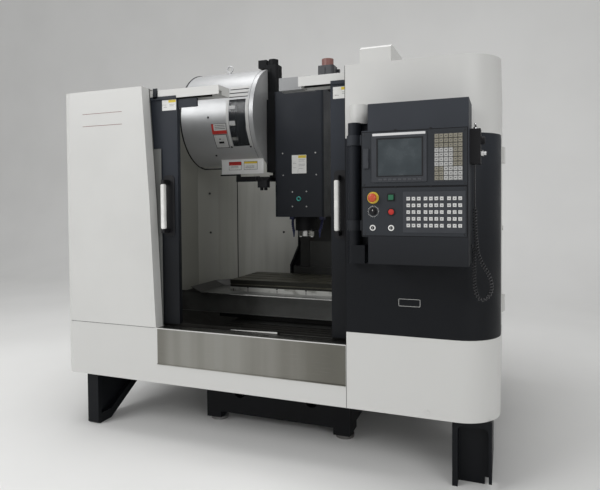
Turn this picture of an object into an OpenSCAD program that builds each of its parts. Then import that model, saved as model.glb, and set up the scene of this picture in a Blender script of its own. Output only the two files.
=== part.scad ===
// Vertical machining center with a sheet metal enclosure, an arm type tool
// changer and a swivelling control box. Millimetres. +Z is up, the front faces -Y
// and the origin is the middle of the footprint on the floor.

/* [Enclosure] */
// Width over the side panels
machine_w = 2600; // [2500:10:2700]
// Depth from the front panels to the rear panels
shell_d = 1560; // [1540:10:1640]
// Height of the lower edge of the panels
shell_bottom = 340; // [320:5:360]
// Height of the upper edge of the panels
shell_top = 2095; // [2080:5:2130]
// Thickness of the sheet metal
sheet = 3; // [2:0.5:4]
// Radius of the big vertical corner beside the control box
corner_r = 200; // [150:5:220]
// Radius of the small vertical corner at the left
small_corner_r = 80; // [60:5:90]
// Depth of the front panels along the machine's sides
wrap_d = 420; // [380:10:460]
// Left edge of the right-hand block, right of the middle
block_x = 558; // [540:2:570]
// Height of the sill, where the trough meets the upper panels
sill_z = 667; // [660:1:680]
// Height of the seam over the lower white panel
lower_seam_z = 737; // [725:1:750]
// Height of the seam under the upper white panel
upper_seam_z = 1725; // [1710:1:1740]
// Depth of the return strip beside the door opening
return_d = 80; // [75:1:82]

/* [Doors] */
// Leading edge of the open left door, left of the middle
left_gap = 497; // [480:1:505]
// Leading edge of the open right door, right of the middle
right_gap = 455; // [440:1:470]
// Width of one door
door_w = 665; // [650:5:690]
// Thickness of a door
door_t = 30; // [26:1:34]
// Length of a grip
grip_l = 264; // [240:2:280]

/* [Bed, saddle and table] */
// Length of the table
table_l = 900; // [860:10:920]
// Depth of the table
table_d = 440; // [420:5:450]
// Height of the table top
table_z = 875; // [872:1:885]
// Thickness of the table
table_t = 84; // [78:1:86]
// Width of a T slot
slot_w = 18; // [14:1:20]
// Distance between T slots
slot_pitch = 110; // [100:5:120]
// Centre of the table behind the front panels
table_y = 860; // [856:1:864]
// Thickness of a guide rail's block and rail together
rail_h = 34; // [32:1:36]
// Width of a guide rail
rail_w = 34; // [30:1:38]
// Height of the bed's top face
bed_top = 585; // [580:1:588]
// Width of the bed
bed_w = 950; // [930:10:960]
// Length of one segment of the telescopic guard
cover_seg = 139; // [136:1:142]

/* [Spindle head] */
// Spindle axis behind the front panels
spindle_y = 950; // [948:1:952]
// Height of the spindle nose
nose_z = 1165; // [1150:5:1180]
// Width of the head cover
cover_w = 356; // [350:2:358]
// Height of the head cover's lower edge
cover_z = 1303; // [1295:1:1310]
// Height of the head cover
cover_h = 867; // [860:1:875]
// Diameter of the spindle
spindle_dia = 80; // [76:1:86]

/* [Column] */
// Front face of the column behind the front panels
column_y = 1440; // [1436:1:1444]
// Depth of the column
column_d = 460; // [440:5:480]
// Height of the column's top
column_top = 2330; // [2320:5:2345]

/* [Tool changer] */
// Radius of the magazine cover
drum_r = 350; // [346:1:353]
// Length of the magazine cover
drum_l = 565; // [555:1:570]
// Height of the magazine's axis
drum_z = 2010; // [2006:1:2014]
// Number of tool pots
pots = 16; // [12:1:18]
// Radius of the circle of pots
pot_circle_r = 288; // [280:1:292]
// Distance from the arm's shaft to the spindle axis
arm_reach = 236; // [234:1:238]

/* [Control box] */
// Width of the control box
box_w = 473; // [465:1:475]
// Height of the control box
box_h = 735; // [730:1:745]
// How far the control box stands in front of the panels
box_reach = 220; // [210:1:230]
// Side of a key on the key field
key_size = 15; // [13:0.5:16]
// Diameter of the curly cord
cord_dia = 20; // [18:1:22]

/* [Hidden] */
$fn = 48;

// Clearance of faces that pass each other, of shafts in their bores, and how far
// a cut passes through a face
gap = 0.3;
run_gap = 0.05;
through = 1;

// Colours
white_paint = [0.86, 0.86, 0.85];
dark_paint = [0.22, 0.24, 0.28];
casting_paint = [0.17, 0.19, 0.23];
grey_paint = [0.6, 0.61, 0.6];
steel = [0.75, 0.75, 0.73];
dull_steel = [0.5, 0.5, 0.5];
black_plastic = [0.06, 0.06, 0.07];

// Overall depth and the place of the front plane and of the middle
cabinet_d = 380;
button_reach = 32;
total_d = box_reach + button_reach + shell_d + cabinet_d;
front_y = box_reach + button_reach - total_d / 2;
half_w = machine_w / 2;
knuckle_r = 9;
hinge_out = 20;

// Door opening
door_y = 86;
door_top = 2045;
door_z = sill_z + 11;
edge_x = -607;
edge_top_x = -685;
roller_r = 15;
beam_bottom = 2028;
beam_top = 2080;
roller_z = beam_bottom + 22;
window_x = [240, 560];
window_z = [1120, 1780];
window_r = 40;
striker_l = 130;
striker_z = [1971, 2020];
grip_z = 1252;
grip_r = 13;

// Interior
wall_x = 1000;
wall_y = 150;
wall_top = 2050;
bend_y = 1130;
bend_x = 880;
bend2_y = 1252;
corner_x = 784;
back_y = 1410;
foot_x = 300;
foot_top = 890;
top_x = 230;
wall_gap = 6;
column_gap_x = top_x + wall_gap;

// Machine parts
bed_bottom = 30;
bed_y = 355;
bed_end = column_y + column_d;
rail_len_y = 1000;
saddle_bottom = bed_top + rail_h;
table_bottom = table_z - table_t;
saddle_top = table_bottom - rail_h;
saddle_half_w = 530;
block_x_centre = 140;
block_l = 100;
saddle_d = 444;
saddle_y0 = table_y - saddle_d / 2 - 7;
saddle_y1 = saddle_y0 + saddle_d;
apron_half_w = 800;
apron_z = 645;
tray_side = 236;
tray_front = 349;
tray_flare = 80;
rail_half = rail_h / 2;
land_x = 360;
cover_count = 4;
cover_y = bed_y + 25;
seg_step = (saddle_y0 - cover_y - cover_seg) / (cover_count - 1);
seg_nest = sheet + gap;
y_motor_y = 1225;
x_rail_dy = 130;
y_rail_x = 260;
z_rail_x = 165;
screw_r = 16;
y_screw_z = 510;
x_screw_z = saddle_top - 40;
z_screw_y = column_y + 30;
trough_z = 440;
nose_dia = 110;
carriage_y = column_y - rail_h;
cover_y0 = 800;
cover_y1 = 1130;
cover_top = cover_z + cover_h;
motor_z = 1620;

// Electrical cabinet
cab_x1 = half_w - 70;
cab_x0 = cab_x1 - 740;
cab_z0 = 420;
cab_z1 = 1900;
cab_door_t = 24;
cab_back = shell_d + cabinet_d - cab_door_t;
cab_hinge = [cab_x1 + 10, cab_back + 10];
cab_hinges = [640, 1680];

// Tool changer
drum_x1 = -255;
drum_x0 = drum_x1 - drum_l;
drum_y = spindle_y + 15;
drum_back = drum_y - 97;
gearbox_x0 = -268;
gearbox_x1 = -190;
gearbox_z0 = 1620;
gearbox_z1 = 2130;
disc_x = -2 * arm_reach + 60;
pot_r = 40;
pot_l = 95;

// Control box
box_x0 = 700;
box_x1 = box_x0 + box_w;
box_z0 = 1115;
box_z1 = box_z0 + box_h;
post_x = 618;
post_y = -40;
post_r = 32;
post_z0 = 1188;
post_z1 = 1792;
estop = [753, 1420];
start_key = [836, 1421];
stop_key = [837, 1355];
dial = [754, 1357];
stem_r = 11;

// Bracket that holds the tool changer on the column
bend2_x = 480;
bracket_x0 = -300;
bracket_x1 = -230;
bracket_z0 = 1700;
bracket_z1 = 1900;

// A box between two corners
module slab(x0, x1, y0, y1, z0, z1) {
    translate([x0, y0, z0]) cube([x1 - x0, y1 - y0, z1 - z0]);
}

// A plan outline raised between two heights
module raise(z0, z1) {
    translate([0, 0, z0]) linear_extrude(z1 - z0) children();
}

// An outline drawn as (x, z), with its thickness from y0 to y1
module upright(y0, y1) {
    translate([0, y1, 0]) rotate([90, 0, 0]) linear_extrude(y1 - y0) children();
}

// An outline drawn as (y, z), with its length from x0 to x1
module lengthwise(x0, x1) {
    translate([x0, 0, 0]) rotate([90, 0, 90]) linear_extrude(x1 - x0) children();
}

// A rectangle between two corners, with round corners
module round_rect(x0, x1, y0, y1, r) {
    translate([x0 + r, y0]) square([x1 - x0 - 2 * r, y1 - y0]);
    translate([x0, y0 + r]) square([x1 - x0, y1 - y0 - 2 * r]);
    for (x = [x0 + r, x1 - r], y = [y0 + r, y1 - r]) translate([x, y]) circle(r);
}

module rect(x0, x1, y0, y1) {
    translate([x0, y0]) square([x1 - x0, y1 - y0]);
}

// A cylinder along one axis from a start point
module rod_x(x0, x1, y, z, r) {
    translate([x0, y, z]) rotate([0, 90, 0]) cylinder(h = x1 - x0, r = r);
}
module rod_y(y0, y1, x, z, r) {
    translate([x, y1, z]) rotate([90, 0, 0]) cylinder(h = y1 - y0, r = r);
}
module rod_z(z0, z1, x, y, r) {
    translate([x, y, z0]) cylinder(h = z1 - z0, r = r);
}

// Everything below is drawn with y measured from the front panels and x from
// the spindle axis
module from_front() {
    translate([-hinge_out / 2, front_y, 0]) children();
}

// Two leaves of a hinge on an upright pin: the fixed one holds the pin
module hinge_fixed(height) {
    knuckle = height / 3;
    for (z = [-height / 2, height / 2 - knuckle]) rod_z(z, z + knuckle, 0, 0, knuckle_r);
    rod_z(-height / 2, height / 2, 0, 0, 4);
}
module hinge_moving(height) {
    knuckle = height / 3 - 2 * gap;
    difference() {
        rod_z(-knuckle / 2, knuckle / 2, 0, 0, knuckle_r);
        rod_z(-knuckle, knuckle, 0, 0, 4 + run_gap);
    }
}

// A corner shell seen from above: front face, round corner of radius r and side,
// drawn smaller by the inset and up to a back edge
module corner_plan(x0, r, inset = 0, back = wrap_d) {
    difference() {
        rect(x0, half_w - inset, inset, back);
        difference() {
            rect(half_w - r, half_w + through, -through, r);
            translate([half_w - r, r]) circle(r - inset);
        }
    }
}

// The same shell as a folded sheet
module corner_sheet(x0, r) {
    difference() {
        corner_plan(x0, r);
        corner_plan(x0 - through, r, sheet, wrap_d + through);
    }
}

// The right-hand shell from x0, and the left-hand one up to x1
module right_sheet(x0) {
    corner_sheet(x0, corner_r);
}
module left_sheet(x1) {
    mirror([1, 0]) corner_sheet(-x1, small_corner_r);
}

// The bed: a ribbed casting on feet, with two rail lands
module base_casting() {
    foot_w = 100;
    recess_top = 70;
    color(casting_paint) from_front() difference() {
        union() {
            slab(-bed_w / 2, bed_w / 2, bed_y, bed_end, bed_bottom, trough_z);
            slab(-land_x, land_x, bed_y + 25, bed_end, trough_z, bed_top);
        }
        // low recess between the feet, seen from the front
        slab(-bed_w / 2 + foot_w, bed_w / 2 - foot_w, bed_y - through, bed_end + through,
            bed_bottom - through, recess_top);
        slab(-bed_w / 2 - through, bed_w / 2 + through, bed_y + 160, bed_y + 600,
            bed_bottom - through, recess_top);
        slab(-bed_w / 2 - through, bed_w / 2 + through, bed_y + 760, bed_end - 160,
            bed_bottom - through, recess_top);
        // round core holes in the front wall
        for (x = [-240, 240]) rod_y(bed_y - through, bed_y + 60, x, 215, 42);
        // core openings in the side walls
        for (y = [bed_y + 380, bed_y + 1000]) {
            rod_x(-bed_w / 2 - through, bed_w / 2 + through, y, 230, 80);
        }
        // trough between the rail lands for the ball screw
        slab(-150, 150, bed_y + 25 - through, column_y - 60, trough_z, bed_top + through);
    }
}

module foot(x, y) {
    rod_z(0, 18, x, y, 55);
    rod_z(18, bed_bottom, x, y, 26);
}

module leveling_feet() {
    color(dull_steel) from_front() {
        for (x = [-bed_w / 2 + 50, bed_w / 2 - 50], y = [bed_y + 80, bed_y + 680, bed_end - 80]) foot(x, y);
    }
}

// Legs that carry the front corners of the enclosure
module enclosure_legs() {
    left_x = -1177;
    right_x = 1078;
    color(dark_paint) from_front() {
        difference() {
            lengthwise(left_x, left_x + 82) polygon([[60, 10], [74, 0], [180, 0], [520, 200],
                [520, shell_bottom], [60, shell_bottom]]);
            lengthwise(left_x + 82 - 30, left_x + 82 + through) polygon([[90, 60], [180, 60], [490, 240],
                [490, shell_bottom - 40], [90, shell_bottom - 40]]);
        }
        difference() {
            slab(right_x, right_x + 185, 60, 460, 0, shell_bottom);
            upright(60 - through, 130)
                round_rect(right_x + 26, right_x + 170, -60, shell_bottom - 38, 24);
            slab(right_x + 150, right_x + 186, 59, 461, -through, 36);
        }
    }
}

// Linear rails and ball screws that don't move: bed and column
module guide_rail(length) {
    difference() {
        translate([-rail_w / 2, 0, 0]) cube([rail_w, length, rail_half]);
        for (s = [-1, 1]) translate([s * rail_w / 2, -through, rail_half * 0.55])
            rotate([-90, 0, 0]) cylinder(h = length + 2 * through, r = 4);
    }
}

module fixed_slideways() {
    y_block = bed_y + 40;
    z_blocks = [1010, 2200];
    color(steel) from_front() {
        for (x = [-y_rail_x, y_rail_x]) translate([x, bed_y + 40, bed_top]) guide_rail(rail_len_y);
        for (x = [-z_rail_x, z_rail_x]) translate([x, column_y, 1000]) rotate([90, 0, 0])
            guide_rail(1230);
        // ball screw of the bed and its front bearing block
        rod_y(y_block, y_motor_y, 0, y_screw_z, screw_r);
        slab(-45, 45, y_block, y_block + 25, trough_z, y_screw_z + 55);
        // ball screw of the column between its bearing blocks
        rod_z(z_blocks[0], column_top, 0, z_screw_y, screw_r);
        for (z = z_blocks) slab(-40, 40, z_screw_y - 20, column_y + 60, z, z + 40);
    }
}

module servo(length, side) {
    corner = side * 0.16;
    difference() {
        linear_extrude(length) round_rect(-side / 2, side / 2, -side / 2, side / 2, corner);
        for (a = [0:90:270]) rotate([0, 0, a]) translate([side / 2 + 2, 0, length * 0.12])
            cylinder(h = length * 0.74, r = 5);
    }
    translate([0, 0, length]) cylinder(h = side * 0.45, r = side * 0.36);
}

module axis_motors() {
    y_flange = 10;
    color(casting_paint) from_front() {
        translate([0, z_screw_y, column_top]) {
            servo(150, 130);
            translate([48, 48, 96]) cube([34, 26, 40]);
        }
        slab(-60, 60, y_motor_y, y_motor_y + y_flange, trough_z, y_screw_z + 58);
        translate([0, y_motor_y + y_flange, y_screw_z]) rotate([-90, 0, 0]) servo(90, 110);
    }
}

// Outline of the column from the front: a flared foot that narrows to the top
function column_outline(z0, out, z1) = [[-foot_x - out, z0], [foot_x + out, z0],
    [foot_x + out, foot_top + out], [top_x + out, foot_top + 160 + out], [top_x + out, z1],
    [-top_x - out, z1], [-top_x - out, foot_top + 160 + out], [-foot_x - out, foot_top + out]];

// The column: a tapered hollow casting on a flared foot
module column_casting() {
    hollow_top = column_top - 80;
    color(casting_paint) from_front() difference() {
        upright(column_y, bed_end) polygon(column_outline(bed_top, 0, column_top));
        // weight saving windows through the sides
        for (z = [1150, 1600]) lengthwise(-foot_x - through, foot_x + through)
            round_rect(column_y + 110, column_y + column_d - 120, z, z + 330, 50);
        // hollow between the rail lands, and the screw's way up to its motor
        slab(-z_rail_x + 55, z_rail_x - 55, column_y - through, column_y + 60, foot_top + 110, hollow_top);
        rod_z(hollow_top - 10, column_top + through, 0, z_screw_y, screw_r + 6);
    }
}

// Stainless guard low on the column and the box guard behind the table
module column_cover() {
    upper_x = 135;
    upper_z = foot_top + 210;
    lower_x = foot_x - 30;
    lower_z = foot_top - 190;
    color(steel) from_front() {
        difference() {
            slab(-upper_x, upper_x, column_y - 44, column_y, foot_top, upper_z);
            slab(-upper_x + sheet, upper_x - sheet, column_y - 44 + sheet, column_y + through,
                foot_top - through, upper_z - sheet);
        }
        difference() {
            slab(-lower_x, lower_x, column_y - 60, column_y, lower_z, foot_top);
            slab(-lower_x + sheet, lower_x - sheet, column_y - 60 + sheet, column_y + through,
                lower_z - through, foot_top - sheet);
        }
    }
}

// Telescopic guard over the front of the bed: each segment slides over the one
// before it, and the last one is on the saddle
function seg_half(i) = land_x + sheet + i * seg_nest;
function seg_top(i) = bed_top + rail_half + 4 + sheet + i * seg_nest;

module y_cover_segment(i) {
    half = seg_half(i);
    top = seg_top(i);
    y0 = cover_y + i * seg_step;
    difference() {
        slab(-half, half, y0, y0 + cover_seg, 470, top);
        slab(-half + sheet, half - sheet, y0 - through, y0 + cover_seg + through, 469, top - sheet);
    }
}

module y_cover_front() {
    color(dull_steel) from_front() {
        y_cover_segment(0);
    }
}
module y_cover_second() {
    color(dull_steel) from_front() y_cover_segment(1);
}
module y_cover_third() {
    color(dull_steel) from_front() y_cover_segment(2);
}

// Blocks that ride on the rails, with the rail's own section cut out
module block(length) {
    difference() {
        translate([-rail_w, 0, gap]) cube([2 * rail_w, length, rail_h - gap]);
        translate([-rail_w / 2 - gap, -through, -through])
            cube([rail_w + 2 * gap, length + 2 * through, rail_half + through + gap]);
    }
}

module saddle_casting() {
    channel = 48;
    color(casting_paint) from_front() {
        difference() {
            slab(-saddle_half_w, saddle_half_w, saddle_y0, saddle_y1, saddle_bottom, saddle_top);
            // channel for the table's ball screw, open to its motor
            slab(-saddle_half_w - through, saddle_half_w + through, table_y - channel, table_y + channel,
                x_screw_z - 40, saddle_top + through);
        }
        for (x = [-y_rail_x, y_rail_x], y = [saddle_y0 + 10, saddle_y1 - 10 - block_l])
            translate([x, y, bed_top]) block(block_l);
        // nut on the bed's ball screw
        difference() {
            slab(-45, 45, table_y - 35, table_y + 35, y_screw_z - 35, saddle_bottom);
            rod_y(table_y - 36, table_y + 36, 0, y_screw_z, screw_r + run_gap);
        }
    }
}

module saddle_apron() {
    y0 = saddle_y0 - sheet;
    y1 = saddle_y1 + sheet;
    top = table_bottom - 6;
    last = cover_count - 1;
    color(dull_steel) from_front() {
        difference() {
            slab(-apron_half_w, apron_half_w, y0, y1, apron_z, top);
            slab(-apron_half_w + sheet, apron_half_w - sheet, saddle_y0, saddle_y1, apron_z - through,
                top + through);
        }
        // turned-out lower lip along the front
        slab(-apron_half_w, apron_half_w, y0 - 14, y0, apron_z, apron_z + sheet);
        // last segment of the guard, and the strip that holds it
        y_cover_segment(last);
        slab(-seg_half(last), seg_half(last), y0, saddle_y0, seg_top(last) - sheet, apron_z + sheet);
    }
}

module x_slideways() {
    color(steel) from_front() {
        for (dy = [-x_rail_dy, x_rail_dy]) translate([saddle_half_w, table_y + dy, saddle_top])
            rotate([0, 0, 90]) guide_rail(2 * saddle_half_w);
        // ball screw between two bearing blocks
        rod_x(-saddle_half_w + 20, saddle_half_w, table_y, x_screw_z, screw_r);
        for (x = [-saddle_half_w + 20, saddle_half_w - 50])
            slab(x, x + 30, table_y - 40, table_y + 40, x_screw_z - 40, saddle_top - 6);
    }
}

module x_motor() {
    color(black_plastic) from_front()
        translate([saddle_half_w, table_y, x_screw_z]) rotate([0, 90, 0]) servo(160, 110);
}

// The table with its T slots
module t_slot(y) {
    slab(-table_l, table_l, y - slot_w / 2, y + slot_w / 2, table_z - 20, table_z + through);
    slab(-table_l, table_l, y - slot_w * 0.9, y + slot_w * 0.9, table_z - 36, table_z - 20);
}

module work_table() {
    ledge = 34;
    color(steel) from_front() {
        difference() {
            slab(-table_l / 2, table_l / 2, table_y - table_d / 2, table_y + table_d / 2, table_bottom,
                table_z);
            for (i = [-1:1]) t_slot(table_y + i * slot_pitch);
            // step in the front and rear faces
            for (y = [table_y - table_d / 2 - through, table_y + table_d / 2 - 8])
                slab(-table_l, table_l, y, y + 9, table_z - ledge, table_z - ledge + 8);
        }
        for (x = [-block_x_centre, block_x_centre], dy = [-x_rail_dy, x_rail_dy])
            translate([x + block_l / 2, table_y + dy, saddle_top]) rotate([0, 0, 90]) block(block_l);
        // nut on the saddle's ball screw
        difference() {
            slab(-35, 35, table_y - 40, table_y + 40, x_screw_z - 30, table_bottom);
            rod_x(-36, 36, table_y, x_screw_z, screw_r + run_gap);
        }
    }
}

// The two parts of the tray's outline: its corners turn in twice towards the rear,
// as the inner walls do, and the rear part starts just inside the front one
module tray_plan(rear, inset) {
    half = table_l / 2 + tray_side - inset;
    mid_x = table_l / 2 + 122 - inset;
    rear_x = table_l / 2 + 48 - inset;
    y0 = table_y - tray_front - 100;
    mid_y = table_y + 102;
    y1 = table_y + 226 - inset;
    if (rear) polygon([[-mid_x, mid_y - 1], [mid_x, mid_y - 1], [mid_x, mid_y], [rear_x, y1],
        [-rear_x, y1], [-mid_x, mid_y]]);
    else polygon([[-half, y0], [half, y0], [half, table_y - 15], [mid_x, mid_y], [-mid_x, mid_y],
        [-half, table_y - 15]]);
}

// Rim that leans outwards from the floor
module tray_form(bottom, top, inset) {
    for (rear = [false, true]) hull() {
        raise(bottom, bottom + 0.1) tray_plan(rear, inset + tray_flare);
        raise(top - 0.1, top) tray_plan(rear, inset);
    }
}

// Tray round the table, with a leaning rim at its sides and rear
module table_tray() {
    y0 = table_y - tray_front;
    floor_z = table_bottom + 4;
    rim = floor_z + 38;
    color(dull_steel) from_front() difference() {
        tray_form(floor_z, rim, 0);
        tray_form(floor_z + sheet, rim + 0.2, 1.2 * sheet);
        slab(-table_l / 2, table_l / 2, table_y - table_d / 2, table_y + table_d / 2, floor_z - through,
            rim + through);
        // open front
        slab(-table_l, table_l, y0 - 200, y0, floor_z - through, rim + through);
    }
}

// The head: spindle housing, body and rail blocks
module head_casting() {
    housing_r = 78;
    bottom = cover_z + 7;
    color(casting_paint) from_front() difference() {
        union() {
            rod_z(nose_z + 40, motor_z, 0, spindle_y, housing_r);
            slab(-120, 120, spindle_y, carriage_y, bottom, motor_z);
            slab(-120, 120, spindle_y + 130, carriage_y, motor_z, 1900);
            slab(-220, 220, carriage_y - 60, carriage_y, bottom, 1900);
            for (x = [-z_rail_x, z_rail_x], z = [bottom + 20, 1780])
                translate([x, column_y, z]) rotate([90, 0, 0]) block(110);
            // bracket of the nut on the column's ball screw
            slab(-34, 34, carriage_y, column_y + 50, 1560, 1640);
        }
        rod_z(nose_z, motor_z + through, 0, spindle_y, spindle_dia / 2 + 22);
        rod_z(1559, 1641, 0, z_screw_y, screw_r + run_gap);
        slab(-60, 60, spindle_y + 190, carriage_y - 60, 1500, 1901);
    }
}

// Sheet cover round the head, open at the back
module head_cover() {
    r = 16;
    color(dark_paint) from_front() {
        difference() {
            raise(cover_z, cover_top) difference() {
                round_rect(-cover_w / 2, cover_w / 2, cover_y0, cover_y1 + r, r);
                rect(-cover_w, cover_w, cover_y1, cover_y1 + 100);
            }
            raise(cover_z + sheet, cover_top - sheet)
                round_rect(-cover_w / 2 + sheet, cover_w / 2 - sheet, cover_y0 + sheet, cover_y1 + 60, r - sheet);
            rod_z(cover_z - through, cover_z + 10, 0, spindle_y, 78 + gap);
            rod_y(cover_y0 - through, cover_y0 + 20, 0, 1430, 12);
        }
        // bracket tabs that meet the casting
        for (x = [-cover_w / 2 + sheet, 120]) slab(x, x + cover_w / 2 - 120 - sheet, 1000, 1030, 1500, 1506);
    }
}

module spindle_motor() {
    color(black_plastic) from_front() translate([0, spindle_y, motor_z]) {
        difference() {
            union() {
                cylinder(h = 20, r = 118);
                translate([0, 0, 20]) cylinder(h = 380, r = 105);
                translate([0, 0, 400]) cylinder(h = 60, r = 90);
            }
            translate([0, 0, -through]) cylinder(h = 60 + through, r = 24);
        }
    }
}

module spindle() {
    r = spindle_dia / 2;
    color(steel) from_front() translate([0, spindle_y, 0]) difference() {
        union() {
            rod_z(nose_z, nose_z + 34, 0, 0, nose_dia / 2);
            rod_z(nose_z + 34, 1600, 0, 0, r);
            rod_z(1600, 1660, 0, 0, 20);
            for (a = [0, 180]) rotate([0, 0, a]) slab(34, 52, -8, 8, nose_z - 8, nose_z + 4);
        }
        translate([0, 0, nose_z - through]) cylinder(h = 68, r1 = 22.3, r2 = 12.5);
        rod_z(nose_z, 1500, 0, 0, 9);
    }
}

module bearing(z) {
    r = spindle_dia / 2;
    translate([0, spindle_y, z]) difference() {
        cylinder(h = 26, r = r + 22);
        translate([0, 0, -through]) cylinder(h = 30, r = r + run_gap);
    }
}

module spindle_bearings() {
    color(steel) from_front() for (z = [nose_z + 45, nose_z + 75, 1560]) bearing(z);
}

// Jointed coolant nozzles under the head: beads in a bent row, and a cone
module nozzle() {
    beads = 6;
    translate([96, spindle_y + 4, cover_z - 22]) cube([34, 34, 22]);
    for (i = [0:beads - 1]) {
        translate([112 - i * i * 0.5, spindle_y + 20 - i * 3, cover_z - 26 - i * 15]) sphere(r = 10.5, $fn = 24);
    }
    translate([98, spindle_y + 4, cover_z - 148]) cylinder(h = 46, r1 = 4, r2 = 9, $fn = 24);
}

module coolant_nozzles() {
    color([0.2, 0.25, 0.6]) from_front() for (m = [0, 1]) mirror([m, 0, 0]) nozzle();
}

// Left front panel: round corner, slanted inner edge and return strip
module front_panel_left() {
    bow_x = -640;
    bow_z = 1423;
    guard_top = 1730;
    guard_x = bow_x + (edge_top_x - bow_x) * (guard_top - bow_z) / (shell_top - bow_z);
    edge = [[edge_x, sill_z], [bow_x, bow_z], [edge_top_x, shell_top]];
    color(white_paint) from_front() {
        intersection() {
            union() {
                raise(sill_z, shell_top) left_sheet(edge_x);
                // folded top edge
                raise(shell_top - sheet, shell_top) intersection() {
                    mirror([1, 0]) corner_plan(-edge_x, small_corner_r);
                    union() {
                        rect(-half_w, edge_x, 0, wall_y);
                        rect(-half_w, -wall_x, 0, wrap_d);
                    }
                }
            }
            upright(-1, wrap_d + 1) polygon(concat([[-half_w - 1, sill_z]], edge, [[-half_w - 1, shell_top]]));
        }
        // return strip along the slanted edge
        upright(0, return_d) polygon(concat(edge, [for (i = [2:-1:0]) [edge[i][0] - sheet, edge[i][1]]]));
        // guard plate between the strip and the door, with an upright edge
        upright(return_d - sheet, return_d) polygon([[edge_x, sill_z], [edge_x, guard_top],
            [guard_x - sheet, guard_top], [bow_x - sheet, bow_z], [edge_x - sheet, sill_z]]);
    }
}

module front_trough() {
    inset_x0 = -598;
    color(white_paint) from_front() {
        difference() {
            union() {
                raise(shell_bottom, sill_z) left_sheet(block_x);
                raise(sill_z - sheet, sill_z) rect(-half_w + small_corner_r, block_x, 0, return_d);
                raise(shell_bottom, shell_bottom + sheet)
                    rect(-half_w + small_corner_r, block_x, 0, return_d);
            }
            slab(inset_x0, block_x - 3, -1, sheet + 0.01, 453, sill_z - 5);
        }
        upright(return_d - sheet, return_d) rect(-wall_x, block_x, 560, sill_z);
    }
}

module stainless_panel() {
    x0 = -598;
    color(steel) from_front() {
        upright(0.5, sheet) rect(x0, block_x - 3, 453, sill_z - 5);
        slab(x0, block_x - 3, -6, 0.5, 453, 456);
    }
}

module right_lower_panel() {
    color(white_paint) from_front() {
        difference() {
            raise(shell_bottom, lower_seam_z) right_sheet(block_x);
            rod_y(-through, sheet + through, 965, 372, 11);
        }
        raise(shell_bottom, shell_bottom + sheet) intersection() {
            corner_plan(block_x, corner_r);
            union() {
                rect(block_x, half_w, 0, return_d);
                rect(half_w - 60, half_w, 0, wrap_d);
            }
        }
        slab(block_x, block_x + sheet, sheet, return_d, sill_z, lower_seam_z);
        rod_y(-3, sheet, 965, 372, 11);
    }
}

// Recess behind the control box, between the white tongue and the round corner
tongue_x = 590;
recess_x1 = half_w - corner_r;
recess_z1 = 1881;

module right_middle_panel() {
    color(dark_paint) from_front() {
        raise(lower_seam_z, upper_seam_z) right_sheet(block_x);
        // return into the door opening
        slab(block_x, block_x + sheet, sheet, return_d, lower_seam_z, upper_seam_z);
        // back of the recess behind the control box
        slab(tongue_x, recess_x1, sheet, 2 * sheet, upper_seam_z - 25, recess_z1 + 12);
    }
}

module right_upper_panel() {
    color(white_paint) from_front() {
        difference() {
            raise(upper_seam_z, shell_top) right_sheet(block_x);
            slab(tongue_x, recess_x1, -1, sheet + 1, upper_seam_z - 1, recess_z1);
        }
        slab(block_x, block_x + sheet, sheet, return_d, upper_seam_z, shell_top);
        raise(shell_top - sheet, shell_top) corner_plan(block_x, corner_r);
        // round cap over the control box's post
        intersection() {
            rod_z(post_z1, recess_z1 + 6, post_x + 14, 0, 44);
            slab(tongue_x - 2, 700, -80, 0, post_z1, recess_z1 + 6);
        }
        slab(tongue_x, 676, 0, sheet, post_z1, recess_z1);
        // duct on the roof
        difference() {
            lengthwise(628, 788) polygon([[30, shell_top], [30, shell_top + 80], [60, shell_top + 96],
                [360, shell_top + 96], [360, shell_top]]);
            lengthwise(631, 785) polygon([[33, shell_top + 2], [33, shell_top + 78], [62, shell_top + 93],
                [357, shell_top + 93], [357, shell_top + 2]]);
        }
    }
}

module left_side_panel() {
    color(white_paint) from_front() {
        slab(-half_w, -half_w + sheet, wrap_d, shell_d, shell_bottom, shell_top);
        slab(-half_w + sheet, -half_w + 40, wrap_d, shell_d - sheet, shell_top - sheet, shell_top);
        slab(-half_w + sheet, -half_w + 40, wrap_d, shell_d - sheet, shell_bottom, shell_bottom + sheet);
    }
}

side_door_y0 = 520;
side_door_y1 = 1300;
side_door_z0 = 460;
side_door_z1 = 1980;
side_hinge_x = half_w + hinge_out - knuckle_r;
side_hinges = [840, 1650];
hinge_h = 90;

module right_side_panel() {
    color(white_paint) from_front() {
        difference() {
            slab(half_w - sheet, half_w, wrap_d, shell_d, shell_bottom, shell_top);
            lengthwise(half_w - sheet - 1, half_w + 1)
                round_rect(side_door_y0, side_door_y1, side_door_z0, side_door_z1, 20);
        }
        slab(half_w - 40, half_w - sheet, wrap_d, shell_d - sheet, shell_top - sheet, shell_top);
        slab(half_w - 40, half_w - sheet, wrap_d, shell_d - sheet, shell_bottom, shell_bottom + sheet);
        for (z = side_hinges) {
            translate([side_hinge_x, side_door_y0, z]) hinge_fixed(hinge_h);
            slab(half_w, side_hinge_x, side_door_y0 - 40, side_door_y0 - 10, z - hinge_h / 2,
                z + hinge_h / 2);
            for (s = [-1, 1]) slab(half_w, side_hinge_x, side_door_y0 - 10, side_door_y0,
                z + s * hinge_h / 3 - hinge_h / 6, z + s * hinge_h / 3 + hinge_h / 6);
        }
    }
}

module rear_panels() {
    inner = bend2_x;
    color(white_paint) from_front() for (s = [-1, 1]) {
        difference() {
            slab(min(s * inner, s * (half_w - sheet)), max(s * inner, s * (half_w - sheet)),
                shell_d - sheet, shell_d, shell_bottom, shell_top);
            if (s < 0) for (i = [0:11])
                slab(-half_w + 250, -half_w + 650, shell_d - sheet - 1, shell_d + 1, 1500 + i * 26,
                    1510 + i * 26);
        }
    }
}

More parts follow.
